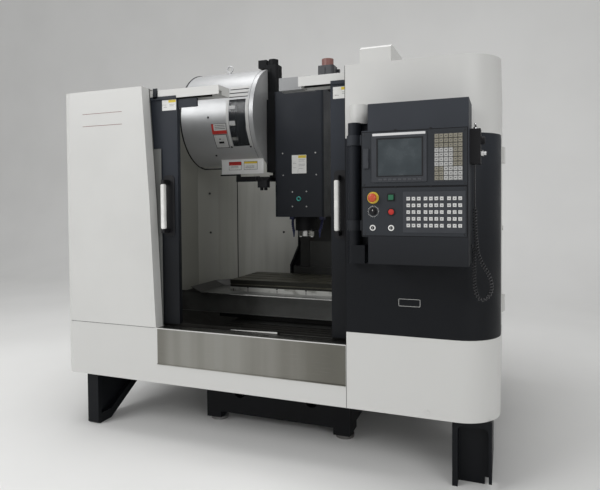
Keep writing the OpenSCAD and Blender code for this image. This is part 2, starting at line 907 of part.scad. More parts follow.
// Inner walls of the work space: left, right and back with the column opening
module wall_plan() {
    outer = [[wall_x, wall_y], [wall_x, bend_y], [bend_x, bend2_y], [corner_x, back_y],
        [column_gap_x, back_y]];
    inner = [[column_gap_x, back_y - sheet], [corner_x - 2, back_y - sheet],
        [bend_x - sheet, bend2_y - 1], [wall_x - sheet, bend_y - 1], [wall_x - sheet, wall_y]];
    polygon(concat(outer, inner));
}

module inner_walls() {
    color(grey_paint) from_front() difference() {
        union() {
            for (m = [0, 1]) mirror([m, 0, 0]) {
                raise(640, wall_top) wall_plan();
                // ledge between the walls and the outer panels
                raise(wall_top - sheet, wall_top) polygon([[wall_x, wall_y], [half_w - corner_r, wall_y],
                    [half_w - sheet, corner_r], [half_w - sheet, shell_d - sheet], [bend2_x, shell_d - sheet], [bend2_x, back_y],
                    [corner_x, back_y], [bend_x, bend2_y], [wall_x, bend_y]]);
            }
        }
        // the tool changer's bracket passes through
        slab(bracket_x0 - 4, bracket_x1 + 4, back_y - 10, back_y + 10, bracket_z0 - 4, bracket_z1 + 4);
        // the column's flared foot passes through
        upright(back_y - 10, back_y + 10) polygon(column_outline(600, wall_gap, foot_top + 200));
    }
}

module chip_pan() {
    y0 = return_d;
    pan_z = 430;
    inner_x = wall_x - sheet;
    color(dull_steel) from_front() {
        // sloping front wall with a flange on the trough
        lengthwise(-inner_x, inner_x) polygon([[y0, 640], [y0 + sheet, 640], [y0 + sheet, 602],
            [bed_y - 8, pan_z + sheet], [bed_y, pan_z + sheet], [bed_y, pan_z], [bed_y - 10, pan_z],
            [y0, 600]]);
        // sloping side floors with flanges on the inner walls
        for (m = [0, 1]) mirror([m, 0, 0]) intersection() {
            upright(bed_y - 4, back_y - sheet) polygon([[inner_x, 690], [inner_x - sheet, 690],
                [inner_x - sheet, 652], [bed_w / 2 + 45, pan_z + sheet], [bed_w / 2, pan_z + sheet],
                [bed_w / 2, pan_z], [bed_w / 2 + 46, pan_z], [inner_x, 650]]);
            raise(pan_z - through, 700) polygon([[bed_w / 2, bed_y - 10], [inner_x, bed_y - 10],
                [inner_x, bend_y - 1], [bend_x - sheet, bend2_y - 1], [corner_x - 2, back_y - sheet],
                [bed_w / 2, back_y - sheet]]);
        }
    }
}

module beam(x0, x1) {
    y0 = return_d;
    y1 = 208;
    difference() {
        slab(x0, x1, y0, y1, beam_bottom, beam_top);
        slab(x0 - 1, x1 - sheet, y0 + sheet, y1 - sheet, beam_bottom - 1, beam_top - sheet);
        // the door leaves through the end
        slab(x1 - 10, x1 + 1, y0 + sheet, door_y + door_t + 4, beam_bottom - 1, door_top + 6);
    }
}

module top_beams() {
    right_end = -274;
    color(white_paint) from_front() {
        beam(-wall_x + sheet, -213);
        mirror([1, 0, 0]) beam(-wall_x + sheet, right_end);
        // lamp box behind the right-hand beam
        slab(108, 300, 208, 290, 2041, 2113);
    }
}

module door_frame() {
    left_end = -left_gap - door_w - 10;
    right_end = right_gap + door_w + 10;
    rail_end = 290;
    rail_y = door_y + door_t + 6;
    lip_z = roller_z - roller_r - gap;
    color(grey_paint) from_front() {
        // hanging rails inside the beams: a lip that the rollers run on
        for (x = [[left_end, -rail_end], [rail_end, right_end]]) {
            slab(x[0], x[1], rail_y, rail_y + 21, lip_z - 4, lip_z);
            slab(x[0], x[1], rail_y + 18, rail_y + 21, lip_z, beam_top - sheet);
        }
        // lower guide on the sill
        slab(left_end, right_end, door_y + 11, door_y + 19, sill_z - 20, sill_z + 16);
        slab(-wall_x, block_x, return_d, door_y + 19, sill_z - 23, sill_z - 20);
    }
}

// A door that stands as the left one does, with its leading edge at -opening
module door(opening) {
    x1 = -opening;
    x0 = x1 - door_w;
    difference() {
        slab(x0, x1, door_y, door_y + door_t, door_z, door_top);
        upright(door_y - 1, door_y + door_t + 1)
            round_rect(x1 - window_x[1], x1 - window_x[0], window_z[0], window_z[1], window_r);
        // groove for the lower guide
        slab(x0 - 1, x1 + 1, door_y + 9, door_y + 21, door_z - 1, door_z + 8);
        slab(x0 - 1, x1 - 30, door_y + door_t - 6, door_y + door_t + 1, door_z + 40, 1080);
    }
    // roller hangers at the back
    for (x = [x0 + 80, x0 + 350]) {
        slab(x - 20, x + 20, door_y + door_t, door_y + door_t + 4, 1930, roller_z + 12);
        rod_y(door_y + door_t + 4, door_y + door_t + 18, x, roller_z, roller_r);
    }
}

module left_door() {
    color(dark_paint) from_front() {
        door(left_gap);
        // striker bar at the leading edge
        slab(-left_gap, -left_gap + striker_l, door_y + 8, door_y + 22, striker_z[0], striker_z[1]);
    }
}
module right_door() {
    color(dark_paint) from_front() difference() {
        mirror([1, 0, 0]) door(right_gap);
        // socket for the striker bar
        slab(right_gap - 1, right_gap + striker_l + 2, door_y + 5, door_y + 25, striker_z[0] - 3,
            striker_z[1] + 3);
    }
}

module window_pane(opening) {
    upright(door_y + 10, door_y + 16)
        round_rect(-opening - window_x[1] + gap, -opening - window_x[0] - gap, window_z[0] + gap,
            window_z[1] - gap, window_r - gap);
}
module left_window() {
    color([0.6, 0.7, 0.72, 0.4]) from_front() window_pane(left_gap);
}
module right_window() {
    color([0.6, 0.7, 0.72, 0.4]) from_front() mirror([1, 0, 0]) window_pane(right_gap);
}

// A white grip on black brackets and a black backing plate
module handle(x) {
    z1 = grip_z + grip_l;
    plate_y = door_y - 4;
    upright(plate_y, door_y) round_rect(x - 30, x + 47, grip_z - 44, z1 + 54, 24);
    difference() {
        slab(x - grip_r + 1, x + grip_r - 1, 26, plate_y, grip_z - 26, z1 + 26);
        slab(x - grip_r, x + grip_r, 52, plate_y + 1, grip_z, z1);
    }
    raise(grip_z, z1) round_rect(x - grip_r, x + grip_r, 22, 52, 8);
}

module left_handle() {
    color(white_paint) from_front() handle(-left_gap - 70);
}
module right_handle() {
    color(white_paint) from_front() handle(right_gap + 47);
}

// Post beside the control box that it swings on
module pendant_column() {
    color(dark_paint) from_front() {
        rod_z(post_z0, post_z1, post_x, post_y, post_r);
        slab(post_x - 10, 676, post_y - 34, 0, post_z0 - 90, post_z0);
        rod_z(post_z0 - 90, post_z0, post_x, post_y, 34);
        slab(post_x - 20, post_x + 20, post_y, 0, post_z1 - 60, post_z1);
    }
}

module pendant_box() {
    depth_y = -box_reach;
    back = -8;
    wall = 4;
    lug_r = post_r + 6;
    hood_x = box_x0 + 29;
    field_z0 = 1240;
    field_z1 = 1728;
    color(dark_paint) from_front() {
        difference() {
            union() {
                slab(hood_x, box_x1, depth_y, back, box_z0, box_z1);
                // the operating field is a little wider than the hood over it
                slab(box_x0, hood_x, depth_y, back, field_z0, field_z1);
            }
            slab(hood_x + wall, box_x1 - wall, depth_y + 30, back - wall, box_z0 + wall, box_z1 - wall);
            // pockets that the buttons travel in
            rod_y(depth_y - 1, depth_y + 14, estop[0], estop[1], stem_r + gap);
            upright(depth_y - 1, depth_y + 14) rect(start_key[0] - 12 - gap, start_key[0] + 12 + gap,
                start_key[1] - 12 - gap, start_key[1] + 12 + gap);
            rod_y(depth_y - 1, depth_y + 14, stop_key[0], stop_key[1], 13 + gap);
        }
        for (z = [1260, 1680]) difference() {
            union() {
                rod_z(z, z + 50, post_x, post_y, lug_r);
                slab(post_x, box_x0, post_y - 20, post_y + 20, z, z + 50);
            }
            rod_z(z - 1, z + 51, post_x, post_y, post_r + run_gap);
        }
    }
}

module display_bezel() {
    face = -box_reach;
    color(steel) from_front() {
        difference() {
            upright(face - 6, face) round_rect(747, 995, 1490, 1716, 4);
            upright(face - 7, face + 1) rect(773, 977, 1517, 1687);
        }
    }
}

module display_screen() {
    face = -box_reach;
    color([0.05, 0.06, 0.07]) from_front() upright(face - 4, face) rect(773 + gap, 977 - gap, 1517 + gap, 1687 - gap);
}

// Key field: columns and rows of square keys on a plate
module keys(x0, z0, columns, rows, pitch_x, pitch_z, w, h) {
    for (c = [0:columns - 1], r = [0:rows - 1])
        translate([x0 + c * pitch_x - w / 2, -box_reach - 7, z0 - r * pitch_z - h / 2]) cube([w, 4, h]);
}

module key_panels() {
    face = -box_reach;
    pitch = 23.3;
    key_rows = 5;
    key_groups = [[914, 3], [990, 4], [1091, 3]];
    color(black_plastic) from_front() {
        // small keys beside the display, on their plate
        upright(face - 3, face) rect(1026, 1150, 1488, 1700);
        keys(1038, 1688, 6, 10, 20, 20.5, 16, 16);
        // operator's keys in three groups, on their plate
        upright(face - 3, face) rect(889, 1160, 1262, 1446);
        for (g = key_groups) keys(g[0], 1414, g[1], key_rows, pitch, 30, key_size, key_size);
        // cover of the card slot
        upright(face - 10, face) rect(708, 734, 1554, 1646);
        // collar of the emergency button, and two round switches
        difference() {
            rod_y(face - 6, face, estop[0], estop[1], 27);
            rod_y(face - 7, face + 1, estop[0], estop[1], stem_r + gap);
        }
        for (x = [751, 836]) {
            rod_y(face - 5, face, x, 1282, 13);
            rod_y(face - 9, face - 5, x, 1282, 8);
        }
    }
}

module emergency_button() {
    face = -box_reach;
    color([0.75, 0.08, 0.06]) from_front() {
        rod_y(face - 28, face - 15, estop[0], estop[1], 20);
        rod_y(face - button_reach, face - 28, estop[0], estop[1], 16);
        rod_y(face - 15, face + 6, estop[0], estop[1], stem_r);
    }
}

module start_button() {
    color([0.1, 0.6, 0.3]) from_front() upright(-box_reach - 10, -box_reach + 6)
        rect(start_key[0] - 12, start_key[0] + 12, start_key[1] - 12, start_key[1] + 12);
}
module stop_button() {
    color([0.8, 0.1, 0.08]) from_front()
        rod_y(-box_reach - 10, -box_reach + 6, stop_key[0], stop_key[1], 13);
}
module override_knob() {
    face = -box_reach - gap;
    color(black_plastic) from_front() {
        rod_y(face - 5, face, dial[0], dial[1], 17);
        rod_y(face - 18, face - 5, dial[0], dial[1], 11);
    }
}

// Hand unit on the side of the box, with two toggles and a key lock
module handwheel_unit() {
    side_x = box_x1 + 45;
    color(black_plastic) from_front() {
        slab(box_x1, side_x, -150, -60, 1567, 1722);
        for (y = [-128, -86]) {
            rod_z(1722, 1730, box_x1 + 22, y, 8);
            rod_z(1730, 1748, box_x1 + 22, y, 3.5);
        }
        rod_x(side_x, side_x + 12, -105, 1614, 14);
        rod_x(side_x + 12, side_x + 24, -105, 1614, 9);
    }
}
module handwheel_knob() {
    color(black_plastic) from_front() rod_x(box_x1 + 45 + gap, box_x1 + 62, -105, 1672, 18);
}

// Curly cord from the hand unit to the box
cord_route = [[1192, -105, 1567], [1192, -105, 1520], [1192, -104, 1450], [1192, -102, 1380],
    [1193, -100, 1310], [1196, -98, 1240], [1202, -96, 1180], [1216, -93, 1130], [1238, -90, 1090],
    [1256, -88, 1050], [1262, -86, 1010], [1252, -85, 975], [1228, -84, 955], [1200, -84, 955],
    [1178, -84, 975], [1165, -85, 1010], [1159, -87, 1050], [1158, -88, 1085], [1158, -88, 1115]];

module swept_tube(points, r, sides) {
    n = len(points);
    function direction(i) =
        let (a = points[max(i - 1, 0)], b = points[min(i + 1, n - 1)]) (b - a) / norm(b - a);
    function ring(i) =
        let (d = direction(i), u = cross(d, [0, 1, 0]) / norm(cross(d, [0, 1, 0])), v = cross(d, u))
        [for (k = [0:sides - 1]) points[i] + r * (cos(360 * k / sides) * u + sin(360 * k / sides) * v)];
    polyhedron(
        points = [for (i = [0:n - 1]) each ring(i)],
        faces = concat([[for (k = [0:sides - 1]) k]],
            [for (i = [0:n - 2], k = [0:sides - 1]) [i * sides + k, (i + 1) * sides + k,
                (i + 1) * sides + (k + 1) % sides, i * sides + (k + 1) % sides]],
            [[for (k = [sides - 1:-1:0]) (n - 1) * sides + k]]));
}

module curly_cord() {
    color(black_plastic) from_front() swept_tube(cord_route, cord_dia / 2, 8);
}

// Outline of the magazine cover: a round front up to a flat, open back
module drum_outline(r, back) {
    intersection() {
        translate([drum_y, drum_z]) circle(r, $fn = 96);
        rect(drum_y - 2 * r, back, drum_z - 2 * r, drum_z + 2 * r);
    }
}

module magazine_cover() {
    t = 4;
    window = [-437, -311, 1795, 2105];
    plate_x0 = -586;
    plate_z = 1712;
    plate_y = drum_y - sqrt(pow(drum_r - t, 2) - pow(drum_z - plate_z, 2));
    eye_z = 2370;
    color(steel) from_front() {
        difference() {
            lengthwise(drum_x0, drum_x1) drum_outline(drum_r, drum_back);
            lengthwise(drum_x0 + t, drum_x1 - t) drum_outline(drum_r - t, drum_back + through);
            // window, and the cut-out over the change station
            slab(window[0], window[1], drum_y - drum_r - through, drum_y - drum_r + 120, window[2],
                window[3]);
            slab(plate_x0, drum_x1 - t, drum_y - drum_r, drum_back + through, drum_z - drum_r, plate_z);
        }
        // straight plate that hangs in front of the change station
        slab(plate_x0, drum_x1, plate_y - sheet, plate_y, plate_z - 105, plate_z + 3);
        // lifting eye
        translate([-545, drum_back - 18, eye_z]) {
            translate([0, 0, -40]) cylinder(h = 18, r = 12);
            rotate([90, 0, 0]) rotate_extrude() translate([22, 0]) circle(5);
        }
    }
}

// Magazine disc with tapered pots, each with a tool holder's flange
module pot() {
    rotate([0, -90, 0]) difference() {
        union() {
            cylinder(h = pot_l, r = pot_r);
            translate([0, 0, pot_l]) cylinder(h = 14, r = 31);
            translate([0, 0, pot_l + 14]) cylinder(h = 40, r = 22);
        }
        translate([0, 0, -through]) cylinder(h = 30, r = 17);
    }
}

module tool_magazine() {
    disc_t = 12;
    hub_r = 60;
    color(dark_paint) from_front() translate([disc_x, drum_y, drum_z]) {
        difference() {
            rod_x(0, disc_t, 0, 0, pot_circle_r + 20);
            for (i = [0:5]) rotate([60 * i, 0, 0]) rod_x(-1, disc_t + 1, 0, 140, 42);
        }
        // each pot hangs on the disc's face
        for (i = [0:pots - 1]) rotate([360 * i / pots, 0, 0]) translate([-gap, 0, -pot_circle_r]) pot();
        rod_x(disc_t, gearbox_x0 - disc_x - gap, 0, 0, hub_r);
    }
}

// Gearbox of the tool arm, with its bracket to the column, its plate and motor
module changer_gearbox() {
    color(casting_paint) from_front() {
        difference() {
            union() {
                slab(gearbox_x0, gearbox_x1, drum_back, 1100, gearbox_z0, gearbox_z1 + 60);
                slab(drum_x1, gearbox_x1, drum_back - 24, drum_back, gearbox_z0, gearbox_z1);
            }
            rod_z(gearbox_z0 - 1, gearbox_z0 + 150, -arm_reach, spindle_y, 20 + run_gap);
        }
        slab(bracket_x0, bracket_x1, 1090, 1600, bracket_z0, bracket_z1);
        // motor with its connector box
        translate([-240, spindle_y - 10, gearbox_z1 + 60]) servo(196, 98);
        slab(-345, -280, 905, 965, 2372, 2428);
        slab(-300, -250, 915, 955, 2386, 2414);
    }
}

// Double-ended arm: a hub with a forked gripper at each end
module gripper() {
    difference() {
        union() {
            translate([-27, 0, 0]) cube([54, arm_reach - 30, 26]);
            translate([0, arm_reach, 0]) cylinder(h = 26, r = 48);
        }
        translate([0, arm_reach, -1]) cylinder(h = 28, r = 32);
        translate([-60, arm_reach - 30, -1]) cube([60, 90, 28]);
    }
}

module tool_arm() {
    arm_z = 1556;
    color(steel) from_front() translate([-arm_reach, spindle_y, arm_z]) {
        rod_z(0, gearbox_z0 + 130 - arm_z, 0, 0, 20);
        rod_z(0, 44, 0, 0, 44);
        for (a = [0, 180]) rotate([0, 0, a]) gripper();
    }
}

module side_door() {
    color(white_paint) from_front() {
        difference() {
            lengthwise(half_w - sheet, half_w)
                round_rect(side_door_y0 + 2, side_door_y1 - 2, side_door_z0 + 2, side_door_z1 - 2, 18);
            for (i = [0:9]) slab(half_w - 10, half_w + 1, 760, 1060, 620 + 24 * i, 629 + 24 * i);
        }
        for (z = side_hinges) {
            translate([side_hinge_x, side_door_y0, z]) hinge_moving(hinge_h);
            slab(half_w, side_hinge_x, side_door_y0 + 6, side_door_y0 + 40, z - hinge_h / 6 + 2 * gap,
                z + hinge_h / 6 - 2 * gap);
            slab(side_hinge_x - 3, side_hinge_x + 3, side_door_y0 + 5, side_door_y0 + 10,
                z - hinge_h / 6 + 2 * gap, z + hinge_h / 6 - 2 * gap);
        }
        // latch
        rod_x(half_w, half_w + 8, side_door_y1 - 50, 1220, 16);
    }
}

module electrical_cabinet() {
    color(white_paint) from_front() {
        difference() {
            slab(cab_x0, cab_x1, shell_d, cab_back, cab_z0, cab_z1);
            slab(cab_x0 + sheet, cab_x1 - sheet, shell_d + sheet, cab_back + 1, cab_z0 + sheet,
                cab_z1 - sheet);
        }
        for (z = cab_hinges) {
            translate([cab_hinge[0], cab_hinge[1], z]) hinge_fixed(hinge_h);
            for (s = [-1, 1]) slab(cab_x1, cab_hinge[0] + 3, cab_back - 30, cab_hinge[1] - 4,
                z + s * hinge_h / 3 - hinge_h / 6, z + s * hinge_h / 3 + hinge_h / 6);
        }
    }
}

module cabinet_door() {
    color(white_paint) from_front() {
        slab(cab_x0 + 4, cab_x1 - 6, cab_back + gap, cab_back + cab_door_t, cab_z0 + 4, cab_z1 - 4);
        for (z = cab_hinges) {
            translate([cab_hinge[0], cab_hinge[1], z]) hinge_moving(hinge_h);
            slab(cab_x1 - 6, cab_hinge[0] - 4.5, cab_hinge[1] - 2, cab_hinge[1] + 4,
                z - hinge_h / 6 + 2 * gap, z + hinge_h / 6 - 2 * gap);
        }
        // turning latch
        rod_y(cab_back + cab_door_t - 8, cab_back + cab_door_t, cab_x0 + 60, 1160, 14);
    }
}

base_casting();
leveling_feet();
enclosure_legs();
fixed_slideways();
axis_motors();
column_casting();
column_cover();
y_cover_front();
y_cover_second();
y_cover_third();
saddle_casting();
saddle_apron();
x_slideways();
x_motor();
work_table();
table_tray();
head_casting();
head_cover();
spindle_motor();
spindle();
spindle_bearings();
coolant_nozzles();
front_panel_left();
front_trough();
stainless_panel();
right_lower_panel();
right_middle_panel();
right_upper_panel();
left_side_panel();
right_side_panel();
rear_panels();
inner_walls();
chip_pan();
top_beams();
door_frame();
left_door();
right_door();
left_window();
right_window();
left_handle();
right_handle();
pendant_column();
pendant_box();
display_bezel();
display_screen();
key_panels();
emergency_button();
start_button();
stop_button();
override_knob();
handwheel_unit();
handwheel_knob();
curly_cord();
magazine_cover();
tool_magazine();
changer_gearbox();
tool_arm();
side_door();
electrical_cabinet();
cabinet_door();
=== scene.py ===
"""Looks of the vertical machining center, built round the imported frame.

Sizes of shapes are written in millimetres, with x from the spindle, y behind the
front panels and z from the floor, as in the part's source; at() turns them into the
frame's metres. Finishes and the trees' named sizes are in the frame's metres.
"""

import math

import bmesh
import bpy
from mathutils import Matrix, Vector


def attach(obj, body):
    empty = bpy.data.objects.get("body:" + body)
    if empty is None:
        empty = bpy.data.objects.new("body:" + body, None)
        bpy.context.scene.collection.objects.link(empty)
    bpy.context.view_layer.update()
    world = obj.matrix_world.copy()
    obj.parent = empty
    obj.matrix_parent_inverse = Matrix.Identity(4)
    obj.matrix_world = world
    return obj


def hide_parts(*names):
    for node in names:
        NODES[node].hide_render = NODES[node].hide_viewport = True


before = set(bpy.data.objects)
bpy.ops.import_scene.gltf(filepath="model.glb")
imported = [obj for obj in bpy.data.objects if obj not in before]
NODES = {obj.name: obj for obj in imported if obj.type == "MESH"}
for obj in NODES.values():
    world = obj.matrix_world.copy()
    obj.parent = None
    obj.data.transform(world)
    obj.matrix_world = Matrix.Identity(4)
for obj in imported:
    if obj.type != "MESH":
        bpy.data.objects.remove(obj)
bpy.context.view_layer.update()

MM = 0.001
FRONT_PLANE = Vector((-0.010, -0.844, 0.0))
UP, OUT, SIDE = Vector((0, 0, 1)), Vector((0, -1, 0)), Vector((1, 0, 0))


def at(x, y, z):
    """A point of the frame, in metres, from the source's millimetres."""
    return FRONT_PLANE + Vector((x, y, z)) * MM


def linked(name, data):
    """A new object, in the scene."""
    made = bpy.data.objects.new(name, data)
    bpy.context.scene.collection.objects.link(made)
    return made


def ride_on(made, body, replaced=()):
    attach(made, body)
    if replaced:
        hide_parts(*replaced)
    return made


# ---------------------------------------------------------------- camera


def place_camera():
    """The photograph's view, as fitted to the straight edges of the panels."""
    place = Vector((1.3085, -3.5149, 1.3986))
    yaw, pitch, roll = (math.radians(a) for a in (21.065, 1.447, 0.443))
    focal_px, wide, high = 541.36, 600, 490
    centre_px = (296.46, 216.70)
    ahead = Vector((
        -math.sin(yaw) * math.cos(pitch), math.cos(yaw) * math.cos(pitch), -math.sin(pitch)))
    level = Vector((math.cos(yaw), math.sin(yaw), 0))
    below = ahead.cross(level)
    right = math.cos(roll) * level + math.sin(roll) * below
    down = -math.sin(roll) * level + math.cos(roll) * below
    data = bpy.data.cameras.new("viewpoint")
    data.sensor_width = 36
    data.lens = focal_px / wide * data.sensor_width
    data.shift_x = (wide / 2 - centre_px[0]) / wide
    data.shift_y = (centre_px[1] - high / 2) / wide
    data.clip_start, data.clip_end = 0.05, 100
    camera = linked("viewpoint", data)
    turned = Matrix((right, -down, -ahead)).transposed().to_4x4()
    camera.matrix_world = Matrix.Translation(place) @ turned
    bpy.context.scene.camera = camera


place_camera()

# ---------------------------------------------------------------- node graphs


class Wire:
    """A node's output that sums can be written with."""

    def __init__(self, graph, node, output=0):
        self.graph, self.node = graph, node
        self.socket = node.outputs[output] if len(node.outputs) else None

    def out(self, output):
        return Wire(self.graph, self.node, output)

    def sum_of(self, operation, *values):
        return self.graph.add(
            "ShaderNodeMath", {"operation": operation}, dict(enumerate(values)))

    def __add__(self, other):
        return self.sum_of("ADD", self, other)

    def __sub__(self, other):
        return self.sum_of("SUBTRACT", self, other)

    def __rsub__(self, other):
        return self.sum_of("SUBTRACT", other, self)

    def __mul__(self, other):
        return self.sum_of("MULTIPLY", self, other)

    def __gt__(self, other):
        return self.sum_of("GREATER_THAN", self, other)

    def __lt__(self, other):
        return self.sum_of("LESS_THAN", self, other)

    __radd__, __rmul__ = __add__, __mul__

    def ramp(self, low, high, first=0.0, last=1.0):
        """Smoothly from first to last as the value goes from low to high."""
        return self.graph.add(
            "ShaderNodeMapRange", {"interpolation_type": "SMOOTHSTEP"},
            {"Value": self, "From Min": low, "From Max": high, "To Min": first, "To Max": last})

    def within(self, low, high):
        """1 between two values, 0 outside."""
        return (self > low) * (self < high)


class Graph:
    """A node tree with one method that adds a node."""

    def __init__(self, tree):
        self.tree = tree

    def add(self, kind, settings=None, sockets=None):
        node = self.tree.nodes.new(kind)
        for key, value in (settings or {}).items():
            setattr(node, key, value)
        for key, value in (sockets or {}).items():
            if isinstance(value, Wire):
                self.tree.links.new(value.socket, node.inputs[key])
            else:
                node.inputs[key].default_value = value
        return Wire(self, node)


def colour(red, green, blue):
    return (red, green, blue, 1.0)


def shade(tone, factor):
    """A tone made darker or paler, with its alpha left at 1."""
    return colour(*(c * factor for c in tone[:3]))


class Finish(Graph):
    """The node tree of one material, with the piece's own coordinates."""

    def __init__(self, name):
        self.material = bpy.data.materials.new(name)
        self.material.use_nodes = True
        self.material.node_tree.nodes.clear()
        super().__init__(self.material.node_tree)
        self.place = self.add("ShaderNodeTexCoord").out("Object")
        self.x = self.add("ShaderNodeSeparateXYZ", None, {0: self.place})
        self.y, self.z = self.x.out(1), self.x.out(2)

    def noise(self, scale, detail=2.0, stretch=(1, 1, 1), roughness=0.5):
        place = self.add(
            "ShaderNodeVectorMath", {"operation": "MULTIPLY"}, {0: self.place, 1: stretch})
        return self.add(
            "ShaderNodeTexNoise", None,
            {"Vector": place, "Scale": scale, "Detail": detail, "Roughness": roughness})

    def clouds(self):
        """Soft patches a few hands wide, as on painted sheet."""
        return self.noise(1.7, 4.0).ramp(0.35, 0.68)

    def blend(self, first, second, mask):
        mixed = self.add("ShaderNodeMix", {"data_type": "RGBA"}, {0: mask, 6: first, 7: second})
        return mixed.out(2)

    def clouded(self, tone, spread, clouds):
        """The tone, darker and paler by a spread in the clouds."""
        return self.blend(shade(tone, 1 - spread), shade(tone, 1 + spread), clouds)

    def attribute(self, name):
        """A colour or value that the piece's own points carry."""
        return self.add(
            "ShaderNodeAttribute", {"attribute_type": "GEOMETRY", "attribute_name": name})

    def done(self, tone, roughness=0.5, metallic=0.0, height=None, depth=0.001, **constants):
        sockets = {"Base Color": tone, "Roughness": roughness, "Metallic": metallic}
        sockets.update({key.replace("_", " "): value for key, value in constants.items()})
        if height is not None:
            sockets["Normal"] = self.add(
                "ShaderNodeBump", None, {"Height": height, "Distance": depth})
        shader = self.add("ShaderNodeBsdfPrincipled", None, sockets)
        self.add("ShaderNodeOutputMaterial", None, {0: shader})
        return self.material


# ---------------------------------------------------------------- materials

WHITE_TONE = colour(0.60, 0.60, 0.585)
DARK_TONE = colour(0.0165, 0.0193, 0.025)
SHEET_GRAIN, SHEET_PEEL = 420.0, 0.00012


def enamel(name, tone, roughness=0.4, grain=SHEET_GRAIN, peel=SHEET_PEEL, cloudy=0.06,
           dusty=0.0, sheen=0.5, low_shade=1.0):
    """Paint on sheet metal: orange peel, faint clouds, dust near the floor and painted shade over
    its low half.

    The last argument is the share of its colour that is left in its low half; that darkening is
    painted shade.
    """
    f = Finish(name)
    tinted = f.clouded(tone, cloudy, f.clouds())
    fine = f.noise(grain, 2.0)
    dust = f.z.ramp(0.32, 0.95, 1.0, 0.0) * f.noise(9.0, 5.0).ramp(0.38, 0.66)
    tinted = f.blend(tinted, shade(tone, 0.74), dust * dusty)
    # Painted shade: the low half keeps only part of its colour, darker towards the floor.
    tinted = f.blend(tinted, shade(tone, low_shade), f.z.ramp(0.95, 1.85, 1.0, 0.0))
    rough = f.noise(6.0, 3.0).ramp(0.3, 0.7, roughness - 0.05, roughness + 0.06)
    return f.done(tinted, rough, height=fine, depth=peel, Specular_IOR_Level=sheen)


def white_with_painted_shade(name, cloudy, grey, where):
    """White enamel of a part of which one stretch, marked by where(), is painted grey as shade."""
    f = Finish(name)
    clouds = f.clouds()
    tinted = f.blend(f.clouded(WHITE_TONE, cloudy, clouds), grey, where(f))
    return f.done(tinted, clouds.ramp(0, 1, 0.38, 0.46), height=f.noise(SHEET_GRAIN),
                  depth=SHEET_PEEL)


def guard_plate_shade(f):
    """The plate behind the left panel's slanted edge, painted grey as the shade it lies in."""
    return f.y.within(-0.7745, -0.7625) * (f.x > -0.712)


def beam_back_shade(f):
    """The back of the top beams, painted grey as shade."""
    return f.y > -0.6365


def casting(name, tone):
    """Painted cast iron, coarser than sheet metal, with patches of oil dirt."""
    f = Finish(name)
    coarse = f.noise(130.0, 4.0, roughness=0.65)
    oil_and_shade = f.noise(4.0, 5.0).ramp(0.45, 0.62)
    tinted = f.blend(tone, shade(tone, 0.6), oil_and_shade)
    return f.done(tinted, oil_and_shade.ramp(0, 1, 0.58, 0.42), height=coarse, depth=0.0006,
                  Specular_IOR_Level=0.14)


def metal(name, light, dark, roughness=0.3, along=(1, 60, 60), metallic=1.0):
    """Metal with a brushed or ground direction: fine lines along it, and soft patches."""
    f = Finish(name)
    lines = f.noise(9.0, 3.0, along)
    patch = f.noise(3.0, 4.0).ramp(0.38, 0.64)
    toned = f.blend(light, dark, patch)
    toned = f.blend(toned, shade(dark, 0.7), lines.ramp(0.55, 0.8) * 0.5)
    rough = lines.ramp(0.3, 0.7, roughness - 0.07, roughness + 0.1)
    return f.done(toned, rough, metallic, height=lines, depth=0.00004)


def moulded(name, tone, roughness=0.45, grain=900.0, depth=0.00006, **constants):
    """Moulded plastic or rubber with a fine grain and handled patches."""
    f = Finish(name)
    fine = f.noise(grain, 2.0)
    worn = f.noise(14.0, 4.0).ramp(0.42, 0.66)
    rough = worn.ramp(0, 1, roughness + 0.05, roughness - 0.07)
    return f.done(f.blend(tone, shade(tone, 1.18), worn), rough, height=fine, depth=depth,
                  **constants)


def stainless_front():
    """The panel under the door opening: brushed across, with soft upright stripes of painted
    reflection and painted shade towards its right end.
    """
    f = Finish("stainless_front")
    lines = f.noise(10.0, 4.0, (0.6, 60, 90))
    # Painted reflection: soft upright stripes, lighter and darker.
    reflection_bands = f.noise(1.15, 3.0, (3.4, 0.1, 0.16)).ramp(0.36, 0.63)
    # Painted shade: darker towards the right end.
    right_end_shade = f.x.ramp(0.18, 0.52)
    toned = f.blend(colour(0.29, 0.287, 0.265), colour(0.195, 0.19, 0.17), reflection_bands)
    toned = f.blend(toned, colour(0.12, 0.117, 0.10), right_end_shade * 0.75)
    toned = f.blend(toned, colour(0.45, 0.45, 0.43), lines.ramp(0.58, 0.8) * 0.35)
    return f.done(toned, lines.ramp(0.3, 0.7, 0.28, 0.42), 1.0, height=lines, depth=0.00003)


def drum_steel():
    """Satin steel of the magazine cover, brushed along it, with painted light on its lower side; its
    straight plate is paler.
    """
    f = Finish("drum_steel")
    lines = f.noise(8.0, 3.0, (1, 110, 110))
    patches = f.noise(3.0, 4.0).ramp(0.35, 0.65)
    # Painted light: the lower side of the cover is paler.
    underside_light = f.z.ramp(1.68, 1.92, 1.0, 0.0)
    plate = f.z.within(1.6085, 1.714) * (f.y < -0.0545) * f.x.within(-0.5985, -0.2655)
    toned = f.blend(colour(0.43, 0.435, 0.44), colour(0.36, 0.365, 0.37), patches)
    toned = f.blend(toned, colour(0.60, 0.605, 0.61), underside_light)
    toned = f.blend(toned, colour(0.95, 0.95, 0.94), plate)
    return f.done(toned, lines.ramp(0.3, 0.7, 0.34, 0.44), 0.45, height=lines, depth=0.00003)


